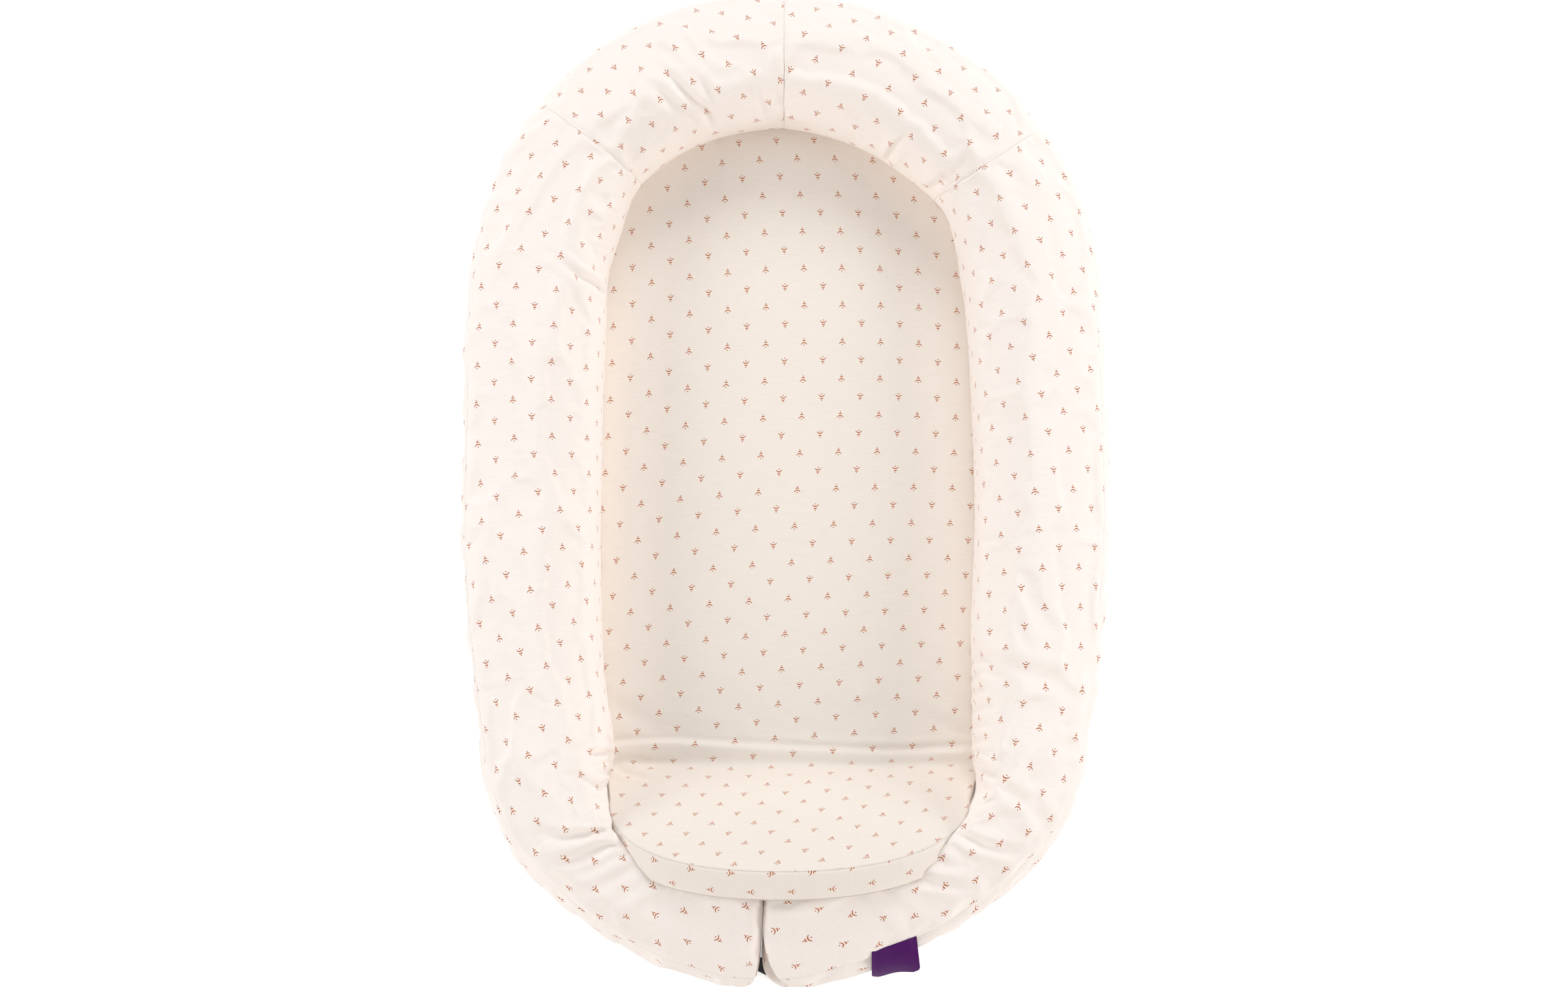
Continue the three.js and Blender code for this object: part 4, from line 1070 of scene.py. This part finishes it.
def settleCloth(points, pins):
    # let the filled cloth swell and crease between its pinned seams, then keep the result
    mesh = gridMesh("settling", points, np.zeros(points.shape[:2] + (2,)), closed=True)
    obj = addObject("settling", mesh)
    group = obj.vertex_groups.new(name="held")
    levels = np.round(pins.ravel(), 2)
    for level in np.unique(levels[levels > 0]):
        group.add(np.flatnonzero(levels == level).tolist(), float(level), "REPLACE")
    cloth = obj.modifiers.new("settle", "CLOTH")
    for key, value in clothValues.items():
        setattr(cloth.settings, key, value)
    cloth.settings.effector_weights.gravity = 0
    cloth.collision_settings.use_collision = False
    scene = bpy.context.scene
    for step in range(1, settling["frames"] + 1):
        scene.frame_set(step)
    shaped = obj.evaluated_get(bpy.context.evaluated_depsgraph_get()).to_mesh()
    moved = np.zeros(points.size)
    shaped.vertices.foreach_get("co", moved)
    moved = moved.reshape(points.shape) - points
    scene.frame_set(1)
    bpy.data.objects.remove(obj)
    bpy.data.meshes.remove(mesh)
    for k in range(3):
        moved[..., k] -= blurred(blurred(moved[..., k], settling["soft"], 0), settling["soft"], 1, wrap=True)
    moved *= settling["gain"]
    reach = np.linalg.norm(moved, axis=2, keepdims=True)
    return points + moved / np.maximum(reach, 1e-9) * settling["cap"] * np.tanh(reach / settling["cap"])


ringPoints = onFloor(settleCloth(ringPoints, clothPins()))
print("ring cloth settled")


# how far the print is turned in each panel (degrees, clockwise from above), at places along the tube
printTurn = {
    "HeadLeft": [(-0.20, -37), (-0.14, -34), (-0.10, -28), (0, -25)],
    "HeadRight": [(0, 20), (0.10, 23), (0.18, 27), (0.22, 29)],
    "SideLeft": [(-1.03, -46), (-0.94, -50), (-0.86, -46), (-0.82, -31), (-0.78, -21), (-0.70, -15),
                 (-0.62, -10.5), (-0.54, -6.3), (-0.46, -1.6), (-0.38, 2.7), (-0.30, 13), (-0.26, 18),
                 (-0.20, 24)],
    "SideRight": [(0.21, -28), (0.26, -25), (0.30, -20.5), (0.38, -15), (0.46, -10), (0.54, -5),
                  (0.62, -2.6), (0.69, -1), (0.74, 11), (0.82, 22), (0.90, 40), (0.98, 56), (1.03, 65)],
}
panels = {
    "HeadLeft": ("head_left", seamPlaces[1], seamPlaces[2]),
    "HeadRight": ("head_right", seamPlaces[2], seamPlaces[3]),
    "SideLeft": ("left", seamPlaces[0], seamPlaces[1]),
    "SideRight": ("right", seamPlaces[3], seamPlaces[4]),
}
# how much longer a panel is cut than its middle line, and the filling's share of the way out
cut = {"longer": 1.28, "filling": 0.87, "fillingFloor": 0.004, "end": (0.15, 0.15), "base": (0.39, 0.74)}


def turnedBy(vectors, turn):
    c, s = np.cos(turn), np.sin(turn)
    return np.stack([vectors[:, 0] * c - vectors[:, 1] * s, vectors[:, 0] * s + vectors[:, 1] * c], -1)


def panelCoords(rows, title):
    # cloth coordinates of a panel, laid flat along its own turned print
    places, turns = np.array(printTurn[title]).T
    turn = np.interp(rowPlace, places, turns) * deg
    steps = turnedBy(np.diff(ringMiddle[:, :2], axis=0), (turn[1:] + turn[:-1]) / 2)
    base = np.concatenate([[[0, 0]], np.cumsum(steps, axis=0)])
    base -= base[rows[len(rows) // 2]]
    place = closedRound(ringPlace[rows])
    outward = rowsAt(place, rowPlace, turnedBy(ringOut, turn))
    return rowsAt(place, rowPlace, base) + ringArc[rows][..., None] * outward


def makePanel(title):
    # the top and the under panel between two seams across the tube
    word, low, high = panels[title]
    rows = np.flatnonzero((rowPlace >= low - 1e-6) & (rowPlace <= high + 1e-6))
    length = (rowPlace[rows[-1]] - rowPlace[rows[0]]) * cut["longer"]
    plain = np.stack([ringArc, closedRound(ringPlace)], -1)[rows]
    for side, cols, coords, slot in (("Top", slice(0, innerCol + 1), panelCoords(rows, title), "cloth"),
                                     ("Under", slice(innerCol, None), plain, "under_cloth")):
        points = closedRound(ringPoints)[rows][:, cols]
        mesh = gridMesh("ring" + side + title, points, coords[:, cols])
        piece = addPiece(mesh, "ring", "bumper", ("bumper_" + side.lower() + "_" + word,))


def makeEnd(word, row):
    # rings of points from the tube's rim to the middle of its end, domed a little
    rim = ringPoints[row]
    middle = rim.mean(axis=0)
    ahead = unit(ringMiddle[row] - ringMiddle[row - signs[word]])
    shares = np.array(ends["capShares"])[:, None, None]
    points = middle + (rim - middle) * shares + ahead * ends["dome"] * (1 - shares ** 2.2) ** 0.8
    coords = np.stack([(points - middle) @ np.array([-ahead[1], ahead[0], 0]), points[..., 2]], -1)
    mesh = gridMesh("ringEnd" + word.title(), points, coords, closed=True)
    piece = addPiece(mesh, "ring", "bumper", ("bumper_end_" + word,))


def capped(points):
    # rings of points, closed at both ends by one drawn together to its middle
    first, last = [np.broadcast_to(points[k].mean(axis=0), points[:1].shape) for k in (0, -1)]
    return np.concatenate([first, points, last])


def makeFilling():
    inner = onFloor(tubeMiddle + (ringPoints - tubeMiddle) * cut["filling"], cut["fillingFloor"])
    shell = capped(np.concatenate([inner[::3], inner[-1:]]))
    mesh = gridMesh("ringFilling", shell, np.zeros(shell.shape[:2] + (2,)), closed=True)
    addPiece(mesh, "fibre", "bumper", ("bumper_filling",), level=0)


for panelTitle in panels:
    makePanel(panelTitle)
makeEnd("left", 0)
makeEnd("right", -1)
makeFilling()
print("ring ready")


def makeBase():
    # the cloth floor between the tubes' inner seams
    rims = [ringPoints[rowPlace <= 0, innerCol][::-1], ringPoints[rowPlace >= 0, innerCol]]
    shares = np.linspace(0, 1, 140) ** 1.3
    left, right = [rim[np.round(shares * (len(rim) - 1)).astype(int)][:, None] for rim in rims]
    across = np.linspace(0, 1, 49)
    points = between(left, right, across[:, None])
    wave = noiseAt(points[..., 0], points[..., 1], 16, 7) * np.sin(math.pi * across)
    points[..., 2] = np.clip(0.0019 + 0.0008 * wave, 0.0008, 0.0028)
    mesh = gridMesh("basePanel", points[1:], points[1:, :, :2])
    piece = addPiece(mesh, "lining", "bumper", ("base_panel",))


makeBase()
print("base ready")


# The strap in two halves, through the bars of the buckle under the right end

strap = {
    "width": 0.0248, "half": 0.0007, "tabAngle": -42 * deg, "tabSpread": 0.186531, "tabLength": 0.030,
    "lift": 0.0014,
    "tabFromEnd": {"left": 0.034, "right": 0.080}, "bar": {"left": 0.00175, "right": 0.04535},
    # the loop round a bar: places away from the bar and above its underside (millimetres)
    "loop": [(20.5, 0.75), (16, 0.75), (12, 0.75), (8, 0.75), (4, 0.75), (1, 0.75), (-1.15, 0.75),
             (-2.2, 1.1), (-2.75, 2.1), (-2.8, 3.5), (-2.75, 4.9), (-2.2, 5.9), (-1.15, 6.25), (1.15, 6.25),
             (2.35, 5.9), (3.35, 4.7), (4.55, 3.2), (6.15, 2.45), (7.75, 2.25), (11, 2.25), (15, 2.25),
             (19, 2.25), (22.7, 2.25)],
    # one side of the band's section: share of its width and of its half thickness
    "section": [(0.012, 0.75), (0.05, 1), (0.28, 1), (0.5, 1), (0.72, 1), (0.95, 1), (0.988, 0.75)],
    "bendStart": (-0.072, -0.430, 0), "bendEnd": (-0.004, -0.438, 0),
}
buckleOrigin, buckleTurn = np.array([0.0142, -0.4351, 0.0003]), 9.12 * deg
buckleAlong = np.array([math.cos(buckleTurn), math.sin(buckleTurn), 0])
buckleAcross = np.array([-math.sin(buckleTurn), math.cos(buckleTurn), 0])


def ringSurface(word, distance, angle, lift):
    # a point a little off the tube's skin
    x, y, heading = [value[0] for value in spineAt(word, np.array([distance]))]
    outer, inner = [tableAt(ring[side][word], distance) for side in ("outer", "inner")]
    across, up = crossSection(angle, outer, inner, tableAt(ring["innerPower"], distance, 1))
    scale = 1 + lift / math.hypot(across, up)
    height = max(ring["widest"] + up * scale, 0.001)
    across *= scale
    return np.array([x + signs[word] * math.sin(heading) * across, y + math.cos(heading) * across, height])


def strapEdges(word):
    # both edges of a strap half, from its tab on the tube to the end of its loop round the buckle's bar
    sign = signs[word]
    start = spines[word][1] - strap["tabFromEnd"][word] - strap["tabLength"]
    turns = [strap["tabAngle"] + side * sign * strap["tabSpread"] for side in (1, -1)]
    places = start + np.linspace(0, 1, 6) * strap["tabLength"]
    tab = np.array([[ringSurface(word, place, turn, strap["lift"]) for turn in turns] for place in places])
    away, height = np.array(strap["loop"]).T[..., None] / 1000
    centre = buckleOrigin + buckleAlong * (strap["bar"][word] + sign * away) + np.array([0, 0, 1]) * height
    loop = centre[:, None] + np.array([[-1], [1]]) * buckleAcross * strap["width"] / 2
    free = between(tab[-1], loop[0], smooth(np.linspace(0, 1, 14)[1:-1])[:, None, None])
    return np.concatenate([tab, free, loop])


def makeStrap(word):
    # a flat band with soft edges, as rings of points round each station
    low, high = np.moveaxis(strapEdges(word), 1, 0)
    middle = (low + high) / 2
    normal = unit(np.cross(np.gradient(middle, axis=0), high - low))
    side = strap["section"]
    u, v = np.array([(0, 0)] + side + [(1, 0)] + [(share, -rise) for share, rise in side[::-1]]).T[..., None]
    points = low[:, None] + (high - low)[:, None] * u + normal[:, None] * v * strap["half"]
    coords = np.stack(np.broadcast_arrays(u[:, 0] * strap["width"], runOf(middle)[:, None]), -1)
    coords = np.concatenate([coords[:1], coords, coords[-1:]])
    mesh = gridMesh("strap" + word.title(), capped(points), coords, closed=True)
    piece = addPiece(mesh, "webbing", None if word == "left" else "bumper", ("strap_" + word,))
    if word == "left":
        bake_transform(piece)


for strapWord in signs:
    makeStrap(strapWord)
print("straps ready")

tag = {
    "root": [(0.0744, -0.4193), (0.1126, -0.4062)],
    "foot": [(0.0753, -0.4390, 0.068), (0.1170, -0.4332, 0.080)],
    "width": 0.041, "drop": 0.033, "corner": 0.006, "bow": 0.0035, "wave": 0.0010, "thickness": 0.0007,
    "above": 0.0010, "rows": 17, "cols": 23,
}


def makeTag():
    # a bare tag, from the skin beside the outer seam down to its rounded foot
    skin = ringPoints[rowPlace > 0.8][:, angles < 100 * deg].reshape(-1, 3)
    u, v = np.linspace(0, 1, tag["cols"]), np.linspace(0, 1, tag["rows"])[:, None]
    rootLine, foot = [between(*np.array(tag[key])[:, None], u[:, None]) for key in ("root", "foot")]
    share = 1 / (np.linalg.norm(skin[:, :2] - rootLine[:, None], axis=2) + 1e-4) ** 4
    height = share @ skin[:, 2] / share.sum(1) + tag["above"]
    nearEnd = np.clip((v - 1) * tag["drop"] / tag["corner"] + 1, 0, 1)
    narrow = tag["corner"] / tag["width"] * (1 - np.sqrt(1 - nearEnd ** 2))
    place = narrow + (1 - 2 * narrow) * u
    root = np.column_stack([rootLine, height])
    points = between(rowsAt(place, u, root), rowsAt(place, u, foot), v[..., None])
    bow = tag["bow"] * np.sin(math.pi * v * 0.8)
    points[..., 1] -= bow + tag["wave"] * np.sin(place * 7 + 1) * v
    points[..., 2] += bow * 1.5
    coords = np.stack(np.meshgrid(u * tag["width"], v * tag["drop"]), -1)
    piece = addPiece(gridMesh("sideTag", points, coords), "tag", "bumper", ("side_tag",))
    thick = piece.modifiers.new("thick", "SOLIDIFY")
    thick.thickness = tag["thickness"]
    thick.offset = 0


makeTag()
print("tag ready")

# each thread has four stations, at shares of its length with shares of its half thickness, and six sides
stitch = {
    "pitch": 0.0029, "dash": 0.0021, "half": 0.00020, "raised": 0.4, "turns": np.arange(0, 360, 60) * deg,
    "stations": [(-0.5, 0.35), (-0.36, 1), (0.36, 1), (0.5, 0.35)],
}


def stitchMesh(name, lines):
    # short raised threads along lines of (points, normals)
    verts, faces = [], []
    steps, thick = np.array(stitch["stations"]).T
    rise, side = [turned(stitch["turns"])[:, None] * thick[:, None, None] for turned in (np.sin, np.cos)]
    for points, normals in lines:
        run = runOf(points)
        for middle in np.arange(stitch["pitch"] / 2, run[-1], stitch["pitch"]):
            stations = middle + steps * stitch["dash"]
            centre, up = rowsAt(stations, run, points), rowsAt(stations, run, normals)
            across = unit(np.cross(up, unit(centre[-1] - centre[0])))
            aside = up[:, None] * (stitch["raised"] + rise) + across[:, None] * side
            thread = centre[:, None] + stitch["half"] * aside
            index = len(verts) + np.arange(rise.size).reshape(rise.shape[:2])
            verts += thread.reshape(-1, 3).tolist()
            faces += quadsOf(closedRound(index))[:, ::-1].tolist()
            faces += [index[0, ::-1].tolist(), index[-1].tolist()]
    mesh = bpy.data.meshes.new(name)
    mesh.from_pydata(verts, [], faces)
    mesh.uv_layers.new(name="cloth")
    return mesh


def makeStitches():
    out = unit(ringPoints - tubeMiddle)
    rows = [int(np.argmin(np.abs(rowPlace - place))) for place in seamPlaces[1:-1]]
    lines = [(ringPoints[row, :innerCol + 1], out[row, :innerCol + 1]) for row in rows]
    lines.append((ringPoints[:, 0], out[:, 0]))
    addPiece(stitchMesh("ringStitches", lines), "thread", "bumper", level=0)
    rim, low = edgePoints([0, 1])
    up, aside = unit(rim - low), unit(edgePoints([0], grow=0.001)[0] - rim)
    mesh = stitchMesh("padStitches", [(rim, unit(up + aside)), (low, unit(aside - up))])
    piece = addPiece(mesh, "thread", level=0)
    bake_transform(piece)


makeStitches()
print("stitches ready")

# finishes on the pieces whose shape comes with the frame
nodeFinish = {
    "buckle_plug": "plastic", "buckle_socket": "plastic", "pad_zip_slider": "metal", "pad_zip_pull": "metal",
    "pad_zip_tape": "coil",
}
for nodeName, finishName in nodeFinish.items():
    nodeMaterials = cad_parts[nodeName].data.materials
    nodeMaterials.clear()
    nodeMaterials.append(finish[finishName])


# Floor and light

# each lamp: place, size, power and colour
studio = {
    "world": 0.40, "floorSize": 14, "floorColour": srgb(248, 248, 248), "floorGlow": 0.33,
    "lamps": {
        "headLamp": ((0.3, 2.5, 1.7), 1.2, 36, (1, 1, 1)),
        "leftLamp": ((-2.4, -0.1, 1.3), 1.4, 32, (1, 1, 1)),
        "rightLamp": ((2.4, -0.1, 1.3), 1.4, 29, (1, 1, 1)),
        "footLamp": ((0.3, -2.5, 1.4), 1.4, 20, (1, 0.91, 0.84)),
    },
}


def inView(tree):
    # 1 for what the camera sees, straight or in a gloss, and 0 for what only lights the object
    path = addNode(tree, "LightPath", {})
    return calc("ADD", Value(path.outputs["Is Camera Ray"]), Value(path.outputs["Is Glossy Ray"]), clamp=True)


def makeFloor():
    bpy.ops.mesh.primitive_plane_add(size=studio["floorSize"], location=(0, 0, -0.0004))
    floor = bpy.context.object
    floor.name = "studioFloor"
    material, tree, shader = newMaterial("paleFloor", studio["floorColour"], 0.9, Specular_IOR_Level=0.1)
    glow = addNode(tree, "Emission", {"Strength": inView(tree) * studio["floorGlow"]})
    both = addNode(tree, "AddShader", {0: Value(shader.outputs[0]), 1: Value(glow.outputs[0])})
    feed(tree.nodes["Material Output"].inputs["Surface"], Value(both.outputs[0]))
    floor.data.materials.append(material)


def makeWorld():
    world = bpy.data.worlds.new("studioWorld")
    bpy.context.scene.world = world
    world.use_nodes = True
    background = world.node_tree.nodes["Background"]
    strength = inView(world.node_tree) * (1 - studio["world"]) + studio["world"]
    feed(background.inputs["Strength"], strength)
    feed(background.inputs["Color"], (1, 1, 1, 1))
    bpy.context.scene.view_settings.view_transform = "Standard"


def makeLamps():
    for name, (place, size, power, colour) in studio["lamps"].items():
        data = bpy.data.lights.new(name, "AREA")
        data.shape = "DISK"
        data.size = size
        data.energy = power
        data.color = colour
        lamp = addObject(name, data)
        lamp.location = place
        lamp.rotation_euler = (-Vector(place)).to_track_quat("-Z", "Y").to_euler()


makeFloor()
makeWorld()
makeLamps()
print("studio ready")
